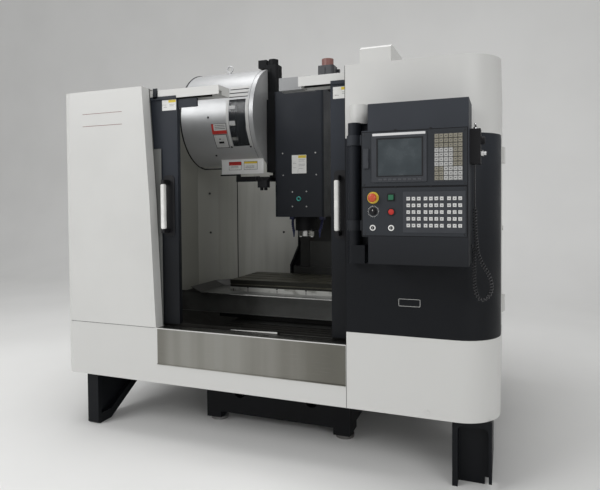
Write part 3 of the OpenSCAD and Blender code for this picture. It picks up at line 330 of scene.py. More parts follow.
def table_iron():
    """Ground cast iron: brown top stained with oil, bright machined strip along the front, and
    painted shade on the rest of the front face.
    """
    f = Finish("table_iron")
    lines = f.noise(9.0, 4.0, (1, 24, 24))
    stain = f.noise(6.0, 6.0, roughness=0.62).ramp(0.4, 0.66)
    # Painted shade: the front face, except the machined strip, is nearly black.
    front = f.y.ramp(-0.2035, -0.202, 1.0, 0.0)
    top = f.blend(colour(0.085, 0.082, 0.064), colour(0.045, 0.042, 0.032), stain)
    top = f.blend(top, colour(0.16, 0.156, 0.13), lines.ramp(0.58, 0.78) * 0.6)
    top = f.blend(top, colour(0.016, 0.016, 0.013), front)
    stained = f.noise(13.0, 4.0).ramp(0.45, 0.62)
    bright = f.blend(colour(0.46, 0.46, 0.44), colour(0.25, 0.25, 0.23), stained)
    strip = f.z.within(0.7905, 0.8265) * (f.y < -0.2)
    return f.done(f.blend(top, bright, strip), strip.ramp(0, 1, 0.42, 0.32), 0.8, height=lines,
                  depth=0.00008)


def guard_steel(name, oil_and_shade):
    """Dull folded steel of tray and apron, with painted light making it paler towards the right and
    painted shade on its left end; the last argument adds a painted shadow at the apron's foot.
    """
    f = Finish(name)
    lines = f.noise(9.0, 3.0, (1, 40, 40))
    smear = f.noise(5.0, 5.0).ramp(0.4, 0.68)
    # Painted shade: the left end is darkened.
    left_end_shade = f.x.ramp(-0.62, -0.5, 1.0, 0.0) * f.z.ramp(0.76, 0.8)
    toned = f.blend(colour(0.13, 0.132, 0.126), colour(0.085, 0.086, 0.081), smear)
    # Painted light: paler towards the right.
    toned = f.blend(toned, colour(0.16, 0.164, 0.158), f.x.ramp(-0.35, 0.45) * 0.7)
    toned = f.blend(toned, colour(0.03, 0.03, 0.029), left_end_shade)
    # Painted shadow: black along the foot, under the apron's front plate.
    toned = f.blend(toned, colour(0.006, 0.006, 0.0055), (f.z < 0.6446) * oil_and_shade)
    return f.done(toned, lines.ramp(0.3, 0.7, 0.34, 0.5), 0.75, height=lines, depth=0.00005)


def inner_paint():
    """Grey paint of the work space, with faint upright streaks of coolant, painted light in a lit
    corner and painted shade on the left wall.
    """
    f = Finish("inner_paint")
    streak = f.noise(5.0, 4.0, (3.5, 3.5, 0.25)).ramp(0.42, 0.7)
    patches = f.noise(2.0, 3.0)
    lit_corner = f.x.ramp(-0.65, -0.42) * f.z.ramp(0.9, 1.3)
    # Painted shade: the left wall is darker.
    left_wall_shade = f.x.ramp(-1.0, -0.6, 1.0, 0.0)
    toned = f.blend(colour(0.68, 0.68, 0.635), colour(0.60, 0.60, 0.555), streak)
    toned = f.blend(toned, colour(0.96, 0.96, 0.91), lit_corner)
    toned = f.blend(toned, colour(0.22, 0.22, 0.195), left_wall_shade)
    return f.done(toned, patches.ramp(0.3, 0.7, 0.36, 0.5), height=f.noise(380.0), depth=0.0001)


def motor_finish():
    """Black motors; the one on the column has a dull red cap."""
    f = Finish("motor_finish")
    black = f.blend(
        colour(0.014, 0.015, 0.019), colour(0.024, 0.026, 0.031), f.noise(8.0, 4.0))
    cap = f.blend(colour(0.23, 0.095, 0.08), colour(0.16, 0.07, 0.06), f.noise(20.0, 4.0))
    over_column = f.z > 2.482
    return f.done(f.blend(black, cap, over_column), 0.42, height=f.noise(260.0), depth=0.0002)


def pane_glass(name, tint, see_through, roughness=0.06):
    """Tinted glass, smeared by hand."""
    f = Finish(name)
    smear = f.noise(7.0, 5.0).ramp(0.4, 0.7)
    return f.done(tint, smear.ramp(0, 1, roughness, roughness + 0.08), Alpha=see_through)


def screen_finish():
    """A dark display behind glass, with a little grime."""
    f = Finish("screen_finish")
    grime = f.noise(12.0, 5.0).ramp(0.35, 0.7)
    toned = f.blend(colour(0.020, 0.030, 0.036), colour(0.040, 0.052, 0.059), grime)
    return f.done(toned, grime.ramp(0, 1, 0.16, 0.3))


def printed(name, tone, roughness=0.45):
    """A printed field on a label: nearly even, slightly scuffed."""
    f = Finish(name)
    scuff = f.noise(45.0, 4.0).ramp(0.55, 0.75)
    return f.done(f.blend(tone, shade(tone, 0.82), scuff), roughness, Specular_IOR_Level=0.25)


def key_finish():
    """Keys take their colour, and the mark on top, from the piece's attributes."""
    f = Finish("key_finish")
    factor = 2
    tint, mark = f.attribute("tint"), f.attribute("mark").out(factor)
    darker = f.add("ShaderNodeHueSaturation", None, {"Value": 0.9, "Color": tint})
    worn = f.blend(tint, darker, f.noise(60.0, 3.0).ramp(0.4, 0.7))
    return f.done(f.blend(worn, colour(0.05, 0.05, 0.055), mark), 0.42)


def green_ring():
    """The green rim of the ring on the head."""
    f = Finish("ring_green")
    return f.done(f.blend(colour(0.05, 0.42, 0.36), colour(0.03, 0.3, 0.26), f.noise(90.0)), 0.3)


MATERIALS = {
    "white": enamel("white_enamel", WHITE_TONE, dusty=0.5, cloudy=0.025),
    # Painted shade: the back of the top beams is grey.
    "beam": white_with_painted_shade("beam_enamel", 0.03, colour(0.27, 0.275, 0.28), beam_back_shade),
    # Painted shade: the plate behind the slanted edge is grey.
    "left_panel": white_with_painted_shade(
        "left_panel_enamel", 0.025, colour(0.115, 0.118, 0.114), guard_plate_shade),
    # Painted shade: the dark, door and hood enamels keep only part of their colour in their low
    # half.
    "dark": enamel(
        "dark_enamel", DARK_TONE, 0.46, 700.0, 0.0003, 0.1, sheen=0.16, low_shade=0.3),
    # Painted light: the doors take the dark panels' paint made half again paler.
    "door": enamel(
        "door_enamel", shade(DARK_TONE, 1.5), 0.46, 700.0, 0.0003, 0.1, sheen=0.18, low_shade=0.2),
    "plate": enamel("plate_enamel", colour(0.025, 0.028, 0.033), 0.5, 900.0, 0.0002, sheen=0.22),
    # Painted light: the hood takes the dark panels' paint about twice as pale.
    "hood": enamel(
        "hood_enamel", colour(0.034, 0.038, 0.046), 0.46, 700.0, 0.0003, 0.08, sheen=0.2,
        low_shade=0.2),
    "hung": enamel("hung_plate", colour(0.035, 0.036, 0.034), 0.5, cloudy=0.1, sheen=0.3),
    "brown": enamel("brown_rubber", colour(0.026, 0.02, 0.015), 0.5, cloudy=0.1, sheen=0.3),
    "inner": inner_paint(),
    "casting": casting("casting_paint", colour(0.006, 0.0065, 0.0075)),
    # The low guards are near black: partly oil dirt, partly painted shade where they lie under the
    # table and doors.
    "guard_low": casting("guard_oily", colour(0.008, 0.0075, 0.0065)),
    "motor": motor_finish(),
    "stainless": stainless_front(),
    "drum": drum_steel(),
    "table": table_iron(),
    "guard": guard_steel("guard_steel", 0.0),
    "apron": guard_steel("apron_steel", 1.0),
    "guard_dark": metal(
        "guard_dark", colour(0.075, 0.078, 0.074), colour(0.05, 0.051, 0.048), 0.42, (60, 60, 1),
        metallic=0.5),
    "sill": metal("sill_stainless", colour(0.2, 0.2, 0.19), colour(0.13, 0.13, 0.12), 0.26),
    "ground": metal("ground_steel", colour(0.55, 0.55, 0.54), colour(0.38, 0.38, 0.37), 0.25),
    "grey_edge": metal("grey_edge", colour(0.13, 0.13, 0.125), colour(0.09, 0.09, 0.085), 0.4),
    "feet": metal("foot_steel", colour(0.3, 0.3, 0.3), colour(0.2, 0.19, 0.18), 0.45),
    "chrome": metal("chrome", colour(0.78, 0.78, 0.78), colour(0.66, 0.66, 0.66), 0.14),
    "screw": metal("screw_steel", colour(0.5, 0.5, 0.49), colour(0.3, 0.3, 0.3), 0.3),
    "bolt_black": metal(
        "black_oxide", colour(0.04, 0.04, 0.042), colour(0.02, 0.02, 0.02), 0.4, metallic=0.6),
    "grip": moulded("grip_white", colour(0.74, 0.74, 0.72), 0.34),
    "black": moulded(
        "black_plastic", colour(0.008, 0.008, 0.0095), 0.48, Specular_IOR_Level=0.25),
    "bezel": moulded("bezel_grey", colour(0.034, 0.037, 0.043), 0.46, Specular_IOR_Level=0.3),
    "red": moulded("red_plastic", colour(0.38, 0.02, 0.014), 0.28, depth=0.00002),
    "orange": moulded("orange_red_plastic", colour(0.42, 0.06, 0.022), 0.34, depth=0.00002),
    "green": moulded("green_plastic", colour(0.009, 0.11, 0.05), 0.3, depth=0.00002),
    "yellow": moulded("yellow_plastic", colour(0.56, 0.40, 0.04), 0.36, depth=0.00002),
    "hose_blue": moulded("hose_blue", colour(0.012, 0.017, 0.075), 0.4),
    "cord": moulded("cord_gloss", colour(0.016, 0.016, 0.018), 0.22, 500.0),
    "rubber": moulded(
        "cord_rubber", colour(0.009, 0.009, 0.010), 0.55, 500.0, Specular_IOR_Level=0.3),
    "screen": screen_finish(),
    "window": pane_glass("window_glass", colour(0.35, 0.4, 0.4), 0.3),
    "drum_pane": pane_glass("drum_pane", colour(0.05, 0.055, 0.06), 0.35, 0.1),
    "silver": printed("label_silver", colour(0.46, 0.46, 0.45), 0.35),
    "label": printed("label_white", colour(0.72, 0.72, 0.70)),
    "label_yellow": printed("label_yellow", colour(0.66, 0.50, 0.05)),
    "label_red": printed("label_red", colour(0.40, 0.035, 0.03)),
    "label_line": printed("label_line", colour(0.16, 0.16, 0.17)),
    "stripe": printed("stripe_red", colour(0.21, 0.085, 0.08)),
    "shadow": printed("seam_shadow", colour(0.005, 0.005, 0.006), 0.8),
    "keys": key_finish(),
    "ring": green_ring(),
}

NODE_FINISH = {
    "left_panel": "front_panel_left",
    "white": "front_trough right_lower_panel right_upper_panel left_side_panel "
             "right_side_panel rear_panels side_door electrical_cabinet cabinet_door",
    "beam": "top_beams",
    "dark": "enclosure_legs right_middle_panel pendant_column head_cover",
    "door": "left_door right_door",
    "hood": "pendant_box",
    "casting": "base_casting column_casting saddle_casting head_casting changer_gearbox",
    "inner": "inner_walls",
    "guard": "table_tray",
    "apron": "saddle_apron",
    "guard_low": "y_cover_front y_cover_second y_cover_third chip_pan door_frame",
    "ground": "fixed_slideways x_slideways spindle spindle_bearings",
    "black": "tool_magazine handwheel_unit handwheel_knob tool_arm",
    "stainless": "stainless_panel",
    "guard_dark": "column_cover",
    "drum": "magazine_cover",
    "table": "work_table",
    "motor": "axis_motors x_motor spindle_motor",
    "feet": "leveling_feet",
    "hose_blue": "coolant_nozzles",
    "window": "left_window right_window",
    "bezel": "display_bezel",
    "screen": "display_screen",
    "green": "start_button",
    "red": "stop_button",
}
for key, names in NODE_FINISH.items():
    for node_name in names.split():
        data = NODES[node_name].data
        data.materials.clear()
        data.materials.append(MATERIALS[key])

# ---------------------------------------------------------------- shapes

DRUM_Y, DRUM_Z, DRUM_R = 965, 2010, 350


def rounded(x0, x1, z0, z1, r, steps=6):
    """Outline of a rectangle with round corners, counterclockwise."""
    corners = ((x1 - r, z1 - r, 0), (x0 + r, z1 - r, 90), (x0 + r, z0 + r, 180),
               (x1 - r, z0 + r, 270))
    turns = [(cx, cz, math.radians(a + 90 * i / steps))
             for cx, cz, a in corners for i in range(steps + 1)]
    return [(cx + r * math.cos(a), cz + r * math.sin(a)) for cx, cz, a in turns]


def smooth_line(points, step):
    """Evenly spaced points on a smooth curve through the given ones."""
    parts = 24
    ends = [points[0] * 2 - points[1], *points, points[-1] * 2 - points[-2]]
    fine = []
    for a, b, c, d in zip(ends, ends[1:], ends[2:], ends[3:]):
        for i in range(parts):
            t = i / parts
            fine.append(0.5 * (2 * b + (c - a) * t + (2 * a - 5 * b + 4 * c - d) * t * t
                               + (3 * b - a - 3 * c + d) * t ** 3))
    fine.append(points[-1])
    line, left = [fine[0]], step
    for a, b in zip(fine, fine[1:]):
        long = (b - a).length
        while left <= long:
            line.append(a.lerp(b, left / long))
            left += step
        left -= long
    return line


def frames_along(line):
    """Two directions square to the line at each point, carried along it without twist."""
    first = (line[1] - line[0]).normalized()
    side = first.orthogonal().normalized()
    found = []
    for i, point in enumerate(line):
        ahead = (line[min(i + 1, len(line) - 1)] - line[max(i - 1, 0)]).normalized()
        side = (side - ahead * side.dot(ahead)).normalized()
        found.append((point, side, ahead.cross(side)))
    return found


def on_drum(x, angle, lift=0.0):
    """A point over the magazine cover, at an angle up from its front."""
    a = math.radians(angle)
    return (x, DRUM_Y - (DRUM_R + lift) * math.cos(a), DRUM_Z + (DRUM_R + lift) * math.sin(a))


class Form:
    """The closed solids of one piece, in the source's millimetres."""

    PLACES = {
        "xz": lambda u, v, w: (u, w, v),
        "xy": lambda u, v, w: (u, v, w),
    }

    def __init__(self):
        self.mesh = bmesh.new()

    def _solid(self, rings, material=0, closed=False):
        """Rings of points joined side by side, with caps, or the last one to the first."""
        made = [[self.mesh.verts.new(at(*p)) for p in ring] for ring in rings]
        faces = []
        for low, high in zip(made, made[1:] + made[:1] if closed else made[1:]):
            n = max(len(low), len(high))
            for i in range(n):
                a, b = low[i % len(low)], low[(i + 1) % len(low)]
                c, d = high[(i + 1) % len(high)], high[i % len(high)]
                corners = list(dict.fromkeys((a, b, c, d)))
                faces.append(self.mesh.faces.new(corners))
        if not closed:
            for ring in (made[0][::-1], made[-1]):
                if len(ring) > 2:
                    faces.append(self.mesh.faces.new(ring))
        for face in faces:
            face.material_index = material
        return made

    def prism(self, outline, plane, low, high, bevel=0.0, ends=(True, True), material=0):
        """An outline drawn in a plane, from low to high across it; bevel rounds its end edges."""
        place = self.PLACES[plane]
        rings = self._solid([[place(u, v, w) for u, v in outline] for w in (low, high)], material)
        if bevel:
            edges = set()
            for ring, wanted in zip(rings, ends):
                inside = set(ring)
                if wanted:
                    edges |= {e for v in ring for e in v.link_edges if set(e.verts) <= inside}
            bmesh.ops.bevel(self.mesh, geom=list(edges), offset=bevel * MM, segments=2,
                            affect="EDGES", clamp_overlap=True, material=-1)
        return self

    def box(self, x0, x1, y0, y1, z0, z1, bevel=0.0, material=0):
        outline = [(x0, z0), (x1, z0), (x1, z1), (x0, z1)]
        return self.prism(outline, "xz", y0, y1, bevel, material=material)

    def boxes(self, *rows):
        """Several boxes, each a row of what box() takes."""
        for row in rows:
            self.box(*row)
        return self

    def plate(self, x0, x1, z0, z1, r, front, back, bevel, steps=3):
        """An upright plate with round corners and a bevel along its front edge."""
        outline = rounded(x0, x1, z0, z1, r, steps)
        return self.prism(outline, "xz", front, back, bevel, (True, False))

    def lathe(self, profile, centre, axis, steps=36, closed=False):
        """Turns a profile of (radius, distance along the axis) round the axis."""
        along = axis.normalized()
        side = along.orthogonal().normalized()
        other = along.cross(side)
        turns = [2 * math.pi * i / steps for i in range(steps)]
        rings = []
        for r, s in profile:
            middle = Vector(centre) + along * s
            rings.append([middle + r * (math.cos(a) * side + math.sin(a) * other) for a in turns]
                         if r else [middle])
        self._solid(rings, closed=closed)
        return self

    def ring(self, profile, centre, axis, steps=36):
        """Turns a closed profile that keeps clear of the axis, such as a washer's."""
        return self.lathe(profile, centre, axis, steps, closed=True)

    def patch(self, x0, x1, a0, a1, lift, thick, material=0, steps=14):
        """A thin plate bent over the magazine cover, between two angles up from its front."""
        rings = []
        for i in range(steps + 1):
            a = a0 + (a1 - a0) * i / steps
            top = lift + thick
            rings.append([on_drum(x0, a, lift), on_drum(x1, a, lift), on_drum(x1, a, top),
                          on_drum(x0, a, top)])
        self._solid(rings, material)
        return self

    def piece(self, name, body, materials, slot=None, replaced=(), sharp=32.0):
        """Turns the form into an object, with its finishes, that rides on a body."""
        bmesh.ops.recalc_face_normals(self.mesh, faces=self.mesh.faces)
        data = bpy.data.meshes.new(name)
        self.mesh.to_mesh(data)
        self.mesh.free()
        data.polygons.foreach_set("use_smooth", [True] * len(data.polygons))
        data.set_sharp_from_angle(angle=math.radians(sharp))
        for key in materials.split():
            data.materials.append(MATERIALS[key])
        return ride_on(linked(name, data), body, replaced)


# ---------------------------------------------------------------- curly cord

CORD_ROUTE = [
    (1192, -105, 1567), (1192, -105, 1520), (1192, -104, 1450), (1192, -102, 1380),
    (1193, -100, 1310), (1196, -98, 1240), (1202, -96, 1180), (1216, -93, 1130),
    (1238, -90, 1090), (1256, -88, 1050), (1262, -86, 1010), (1252, -84, 975),
    (1230, -82, 955), (1208, -79, 958), (1194, -76, 985), (1188, -73, 1030),
    (1187, -70, 1080), (1187, -67, 1130), (1187, -64, 1170), (1183, -62, 1190),
    (1173, -61, 1200)]


def curly_cord():
    """A cord wound into a spring, from the hand unit down and back up under the box."""
    wire_d, turn_r, pitch, per_turn = 0.0055, 0.0075, 0.0135, 14
    straight, lead = 0.19, 0.016
    step = pitch / per_turn
    line = smooth_line([at(*p) for p in CORD_ROUTE], step)
    long = step * (len(line) - 1)
    points = []
    for i, (point, side, other) in enumerate(frames_along(line)):
        run = i * step
        r = turn_r * min(1.0, max(0.0, run - straight) / lead, (long - run) / lead)
        a = 2 * math.pi * i / per_turn
        points.append(point + r * (math.cos(a) * side + math.sin(a) * other))
    curve = bpy.data.curves.new("curly_lead", "CURVE")
    curve.dimensions = "3D"
    curve.bevel_depth = wire_d / 2
    curve.bevel_resolution = 2
    curve.use_fill_caps = True
    spline = curve.splines.new("POLY")
    spline.points.add(len(points) - 1)
    spline.points.foreach_set("co", [c for p in points for c in (*p, 1.0)])
    curve.materials.append(MATERIALS["cord"])
    made = ride_on(linked("curly_lead", curve), "pendant", ("curly_cord",))
    wire = sum((b - a).length for a, b in zip(points, points[1:]))


curly_cord()

# ---------------------------------------------------------------- repeats


class Repeat(Graph):
    """A geometry tree with named sizes, whose result is turned into a plain mesh."""

    def __init__(self, name, **sizes):
        super().__init__(bpy.data.node_groups.new(name, "GeometryNodeTree"))
        self.sizes = {}
        interface = self.tree.interface
        interface.new_socket("Points", in_out="INPUT", socket_type="NodeSocketGeometry")
        for key, value in sizes.items():
            kind = "NodeSocketInt" if isinstance(value, int) else "NodeSocketFloat"
            label = key.replace("_", " ").title()
            item = interface.new_socket(label, in_out="INPUT", socket_type=kind)
            item.default_value = value
            self.sizes[key] = item.identifier
        interface.new_socket("Mesh", in_out="OUTPUT", socket_type="NodeSocketGeometry")
        self.given = self.add("NodeGroupInput")

    def size(self, key):
        return self.given.out(1 + list(self.sizes).index(key))

    def combine(self, *xyz):
        return self.add("ShaderNodeCombineXYZ", None, dict(enumerate(xyz)))

    def join(self, *parts):
        made = self.add("GeometryNodeJoinGeometry")
        for part in parts:
            self.tree.links.new(part.socket, made.node.inputs[0])
        return made

    def swell(self, shape, step, distance, scale):
        """Raises the chosen faces by a distance, then scales the top; gives mesh and top."""
        raised = self.add(
            "GeometryNodeExtrudeMesh", {"mode": "FACES"},
            {"Mesh": shape, "Selection": step, "Offset Scale": distance, "Individual": False})
        top = raised.out("Top")
        scaled = self.add(
            "GeometryNodeScaleElements", None, {0: raised, "Selection": top, "Scale": scale})
        return scaled, top

    def swell_steps(self, base, steps):
        """Raises and scales a base step by step, then closes it with the base turned over."""
        shape, top = base, True
        for distance, scale in steps:
            shape, top = self.swell(shape, top, distance, scale)
        under = self.add("GeometryNodeFlipFaces", None, {"Mesh": base})
        return self.add("GeometryNodeMergeByDistance", None,
                        {"Geometry": self.join(under, shape), "Distance": 1e-6})

    def grid(self, wide, high):
        return self.add(
            "GeometryNodeMeshGrid", None,
            {"Size X": wide, "Size Y": high, "Vertices X": 2, "Vertices Y": 2})

    def marked(self, shape, value):
        """Stores on the shape whether it is the printed mark of a key."""
        return self.add(
            "GeometryNodeStoreNamedAttribute", {"data_type": "FLOAT", "domain": "POINT"},
            {"Geometry": shape, "Name": "mark", "Value": value})

    def on_points(self, points, shape, turn):
        return self.add("GeometryNodeInstanceOnPoints", None,
                        {"Points": points, "Instance": shape, "Rotation": turn})

    def end(self, shape, material):
        real = self.add("GeometryNodeRealizeInstances", None, {0: shape})
        done = self.add(
            "GeometryNodeSetMaterial", None, {"Geometry": real, "Material": MATERIALS[material]})
        self.add("NodeGroupOutput", None, {0: done})

    def grow(self, name, points, body, slot=None, edges=(), tints=None, facings=None, **sizes):
        """Runs the tree on these points and rides the plain mesh on a body."""
        seed = bpy.data.meshes.new(name)
        seed.from_pydata([tuple(at(*p)) for p in points], list(edges), [])
        if tints:
            layer = seed.attributes.new("tint", "FLOAT_COLOR", "POINT")
            layer.data.foreach_set("color", [c for tint in tints for c in tint])
        if facings:
            layer = seed.attributes.new("facing", "FLOAT_VECTOR", "POINT")
            layer.data.foreach_set("vector", [c for direction in facings for c in direction])
        made = linked(name, seed)
        step = made.modifiers.new(name, "NODES")
        step.node_group = self.tree
        for key, value in sizes.items():
            step[self.sizes[key]] = value
        ready = made.evaluated_get(bpy.context.evaluated_depsgraph_get())
        data = bpy.data.meshes.new_from_object(ready)
        made.modifiers.clear()
        made.data = data
        return ride_on(made, body)


FACING_FRONT = (math.pi / 2, 0, 0)


def screw_tree(name, material):
    """Round heads with a recess, one on each point, standing along its facing."""
    g = Repeat(name, head_radius=0.006, head_height=0.003, recess=0.5, sides=14)
    high = g.size("head_height")
    base = g.add("GeometryNodeMeshCircle", {"fill_type": "NGON"},
                 {"Vertices": g.size("sides"), "Radius": g.size("head_radius")})
    head = g.swell_steps(base, (
        (high * 0.6, 1.0), (high * 0.4, 0.84), (0.0, g.size("recess")), (high * -0.6, 0.9)))
    facing = g.add(
        "GeometryNodeInputNamedAttribute", {"data_type": "FLOAT_VECTOR"}, {"Name": "facing"})
    turn = g.add("FunctionNodeAlignRotationToVector", {"axis": "Z"}, {"Vector": facing})
    g.end(g.on_points(g.given, head, turn), material)
    return g


def key_tree():
    """Tapered keys with a small printed bar, in the colour each point carries."""
    g = Repeat("key_rows", key_width=0.016, key_height=0.016, key_depth=0.004, bar_width=0.45)
    wide, high, deep = g.size("key_width"), g.size("key_height"), g.size("key_depth")
    cap = g.swell_steps(g.grid(wide, high), (
        (deep * 0.5, 1.0), (deep * 0.5, 0.86), (0.0, 0.82), (deep * -0.08, 0.96)))
    bar, _ = g.swell(g.grid(wide * g.size("bar_width"), high * 0.2), True, deep * 0.03, 1.0)
    lifted = g.add("GeometryNodeTransform", None, {
        "Geometry": g.marked(bar, 1.0), "Translation": g.combine(0.0, 0.0, deep * 0.915)})
    key = g.join(g.marked(cap, 0.0), lifted)
    g.end(g.on_points(g.given, key, FACING_FRONT), "keys")
    return g


def bead_tree(name, material):
    """A round bead along the edges of the seed, such as a rubber edging or a seam."""
    g = Repeat(name, bead_radius=0.002, sides=8)
    line = g.add("GeometryNodeMeshToCurve", None, {"Mesh": g.given})
    section = g.add("GeometryNodeCurvePrimitiveCircle", {"mode": "RADIUS"},
                    {"Resolution": g.size("sides"), "Radius": g.size("bead_radius")})
    swept = g.add("GeometryNodeCurveToMesh", None,
                  {"Curve": line, "Profile Curve": section, "Fill Caps": True})
    soft = g.add("GeometryNodeSetShadeSmooth", None, {"Geometry": swept, "Shade Smooth": True})
    g.end(soft, material)
    return g


def dial_tree():
    """Short radial marks round a dial, one dial for each point, all facing the front."""
    g = Repeat("dial_marks", ring_radius=0.024, mark_length=0.005, mark_width=0.0014, count=24)
    thick = 0.0006
    count = g.size("count")
    circle = g.add("GeometryNodeMeshCircle", None,
                   {"Vertices": count, "Radius": g.size("ring_radius")})
    share = count.sum_of("DIVIDE", 1.0, count)
    turn = g.combine(0.0, 0.0, g.add("GeometryNodeInputIndex") * 2.0 * math.pi * share)
    mark = g.add("GeometryNodeMeshCube", None,
                 {"Size": g.combine(g.size("mark_length"), g.size("mark_width"), thick)})
    ring = g.on_points(circle, mark, turn)
    whole = g.add("GeometryNodeRealizeInstances", None, {0: ring})
    g.end(g.on_points(g.given, whole, FACING_FRONT), "label")
    return g


def beads(tree, name, lines, body, slot=None, **sizes):
    """Beads along several open or closed polylines, as one piece."""
    points, edges = [], []
    for line in lines:
        start = len(points)
        points += line
        edges += [(i, i + 1) for i in range(start, len(points) - 1)]
    return tree.grow(name, points, body, slot, edges=edges, **sizes)


def front_screws(tree, name, spots, y, body, radius, height):
    """Screws in a face that looks to the front, at (x, z) spots."""
    tree.grow(name, [(x, y, z) for x, z in spots], body, facings=[OUT] * len(spots),
              head_radius=radius, head_height=height)


bright_screws = screw_tree("pan_screws", "screw")
black_screws = screw_tree("black_screws", "bolt_black")
key_rows = key_tree()
rubber_bead = bead_tree("rubber_edging", "rubber")
seam_bead = bead_tree("panel_seams", "shadow")
outline_bead = bead_tree("plate_line", "label")
dial_marks = dial_tree()

# ---------------------------------------------------------------- doors

DOOR_Y, DOOR_BACK = 86, 116
GRIP_Z = (1252, 1516)
WINDOW_Z = (1119, 1781)
WINDOW_FROM_EDGE = (240, 560)
CAP_Y, CAP_Z = (76, 79.4), (2022, 2041)
LEFT_DOOR, RIGHT_DOOR = "left_sliding_door", "right_sliding_door"


def grip(name, x, body, node):
    """White grip between two black brackets on a black backing plate."""
    low, high = GRIP_Z
    plate_y, bracket_h = DOOR_Y - 4, 26
    washer = [(0, 0), (5.5, 0), (5.5, 2), (3.2, 2), (3.2, 0.8), (0, 0.8)]
    black = Form().plate(x - 30, x + 47, low - 44, high + 54, 24, plate_y, DOOR_Y, 1.0, 8)
    for z0 in (low - bracket_h, high):
        black.box(x - 12, x + 12, 26, plate_y, z0, z0 + bracket_h, 3.0)
        for dx in (-20, 26):
            black.lathe(washer, (x + dx, plate_y, z0 + bracket_h / 2), OUT, 20)
    black.piece(name + "_bracket", body, "black", "black_plastic")
    white = Form()
    white.prism(rounded(x - 13, x + 13, 22, 52, 8, 8), "xy", low + 3, high - 3, 1.5)
    white.prism(rounded(x - 10, x + 10, 25, 49, 7, 8), "xy", low, high)
    white.piece(name, body, "grip", "handle_plastic", (node,))


def door_gasket(name, body, edge, s):
    """Rubber round a door's window, on both its faces; s is the side on which the window lies."""
    x0, x1 = sorted(edge + s * far for far in WINDOW_FROM_EDGE)
    lines = []
    for y in (DOOR_Y + 0.5, DOOR_BACK - 0.5):
        ring = [(x, y, z) for x, z in rounded(x0 - 1, x1 + 1, *WINDOW_Z, 41)]
        lines.append(ring + ring[:1])
    beads(rubber_bead, name, lines, body, "cord_rubber", bead_radius=0.0032)


def door_cap(name, body, x0, x1):
    """Folded cap at the top of a door, in front of the beams."""
    Form().box(x0, x1, *CAP_Y, *CAP_Z, 0.6).piece(name, body, "door", "dark_paint")


grip("left_grip", -567, LEFT_DOOR, "left_handle")
grip("right_grip", 502, RIGHT_DOOR, "right_handle")
door_gasket("left_gasket", LEFT_DOOR, -497, -1)
door_gasket("right_gasket", RIGHT_DOOR, 455, 1)
door_cap("left_door_cap", LEFT_DOOR, -1165, -499)
door_cap("right_door_cap", RIGHT_DOOR, 458, 1122)

# ---------------------------------------------------------------- control box

PANEL_Y = -220
PLATE_Y = PANEL_Y - 0.9
FIELD_Y = PANEL_Y - 3
FRAME_Y = PANEL_Y - 6


def control_plates():
    """Two plates on the front of the box, clips between them and corner screws."""
    Form().box(698.5, 1169.5, PANEL_Y - 0.4, PANEL_Y, 1243.5, 1722.5).piece(
        "plate_joint", "pendant", "shadow")
    f = Form()
    for x0, x1, z0, z1 in ((701, 1167, 1471.5, 1720), (703, 1165, 1246, 1465)):
        f.plate(x0, x1, z0, z1, 3, PLATE_Y, PANEL_Y, 0.5)
    f.piece("control_plates", "pendant", "plate", "bezel_plastic")
    clips, clip_y = Form(), PANEL_Y - 2.5
    for x in (856, 1012):
        clips.boxes((x - 6, x + 6, clip_y, PANEL_Y, 1719, 1728, 0.8),
                    (x - 5, x + 5, clip_y, PLATE_Y, 1464, 1472, 0.8))
    clips.piece("plate_clips", "pendant", "black", "black_plastic")
    spots = [(712, 1709), (1157, 1709), (712, 1481), (1157, 1481), (716, 1457), (1156, 1457),
             (716, 1255), (1156, 1255)]
    front_screws(black_screws, "plate_screws", spots, PLATE_Y, "pendant", 0.0035, 0.0018)


def display_dressing():
    """Polished strip over the display, a lip round the screen and soft keys under it."""
    f = Form().plate(752, 990, 1701, 1712, 2, FRAME_Y - 1.2, FRAME_Y, 0.5)
    f.piece("display_strip", "pendant", "chrome", "bright_steel")
    lip = Form()
    for x0, x1, z0, z1 in ((770, 776, 1514, 1690), (974, 980, 1514, 1690),
                           (776, 974, 1514, 1519), (776, 974, 1685, 1690)):
        lip.box(x0, x1, FRAME_Y - 0.8, FRAME_Y, z0, z1)
    lip.piece("display_lip", "pendant", "black", "black_plastic")
    left, pitch, z = 788, 22, 1502
    soft = [(left + pitch * i, FRAME_Y, z) for i in range(9)]
    key_rows.grow("soft_keys", soft, "pendant", tints=[colour(0.05, 0.053, 0.06)] * len(soft),
                  key_width=0.016, key_height=0.009, key_depth=0.002, bar_width=0.3)


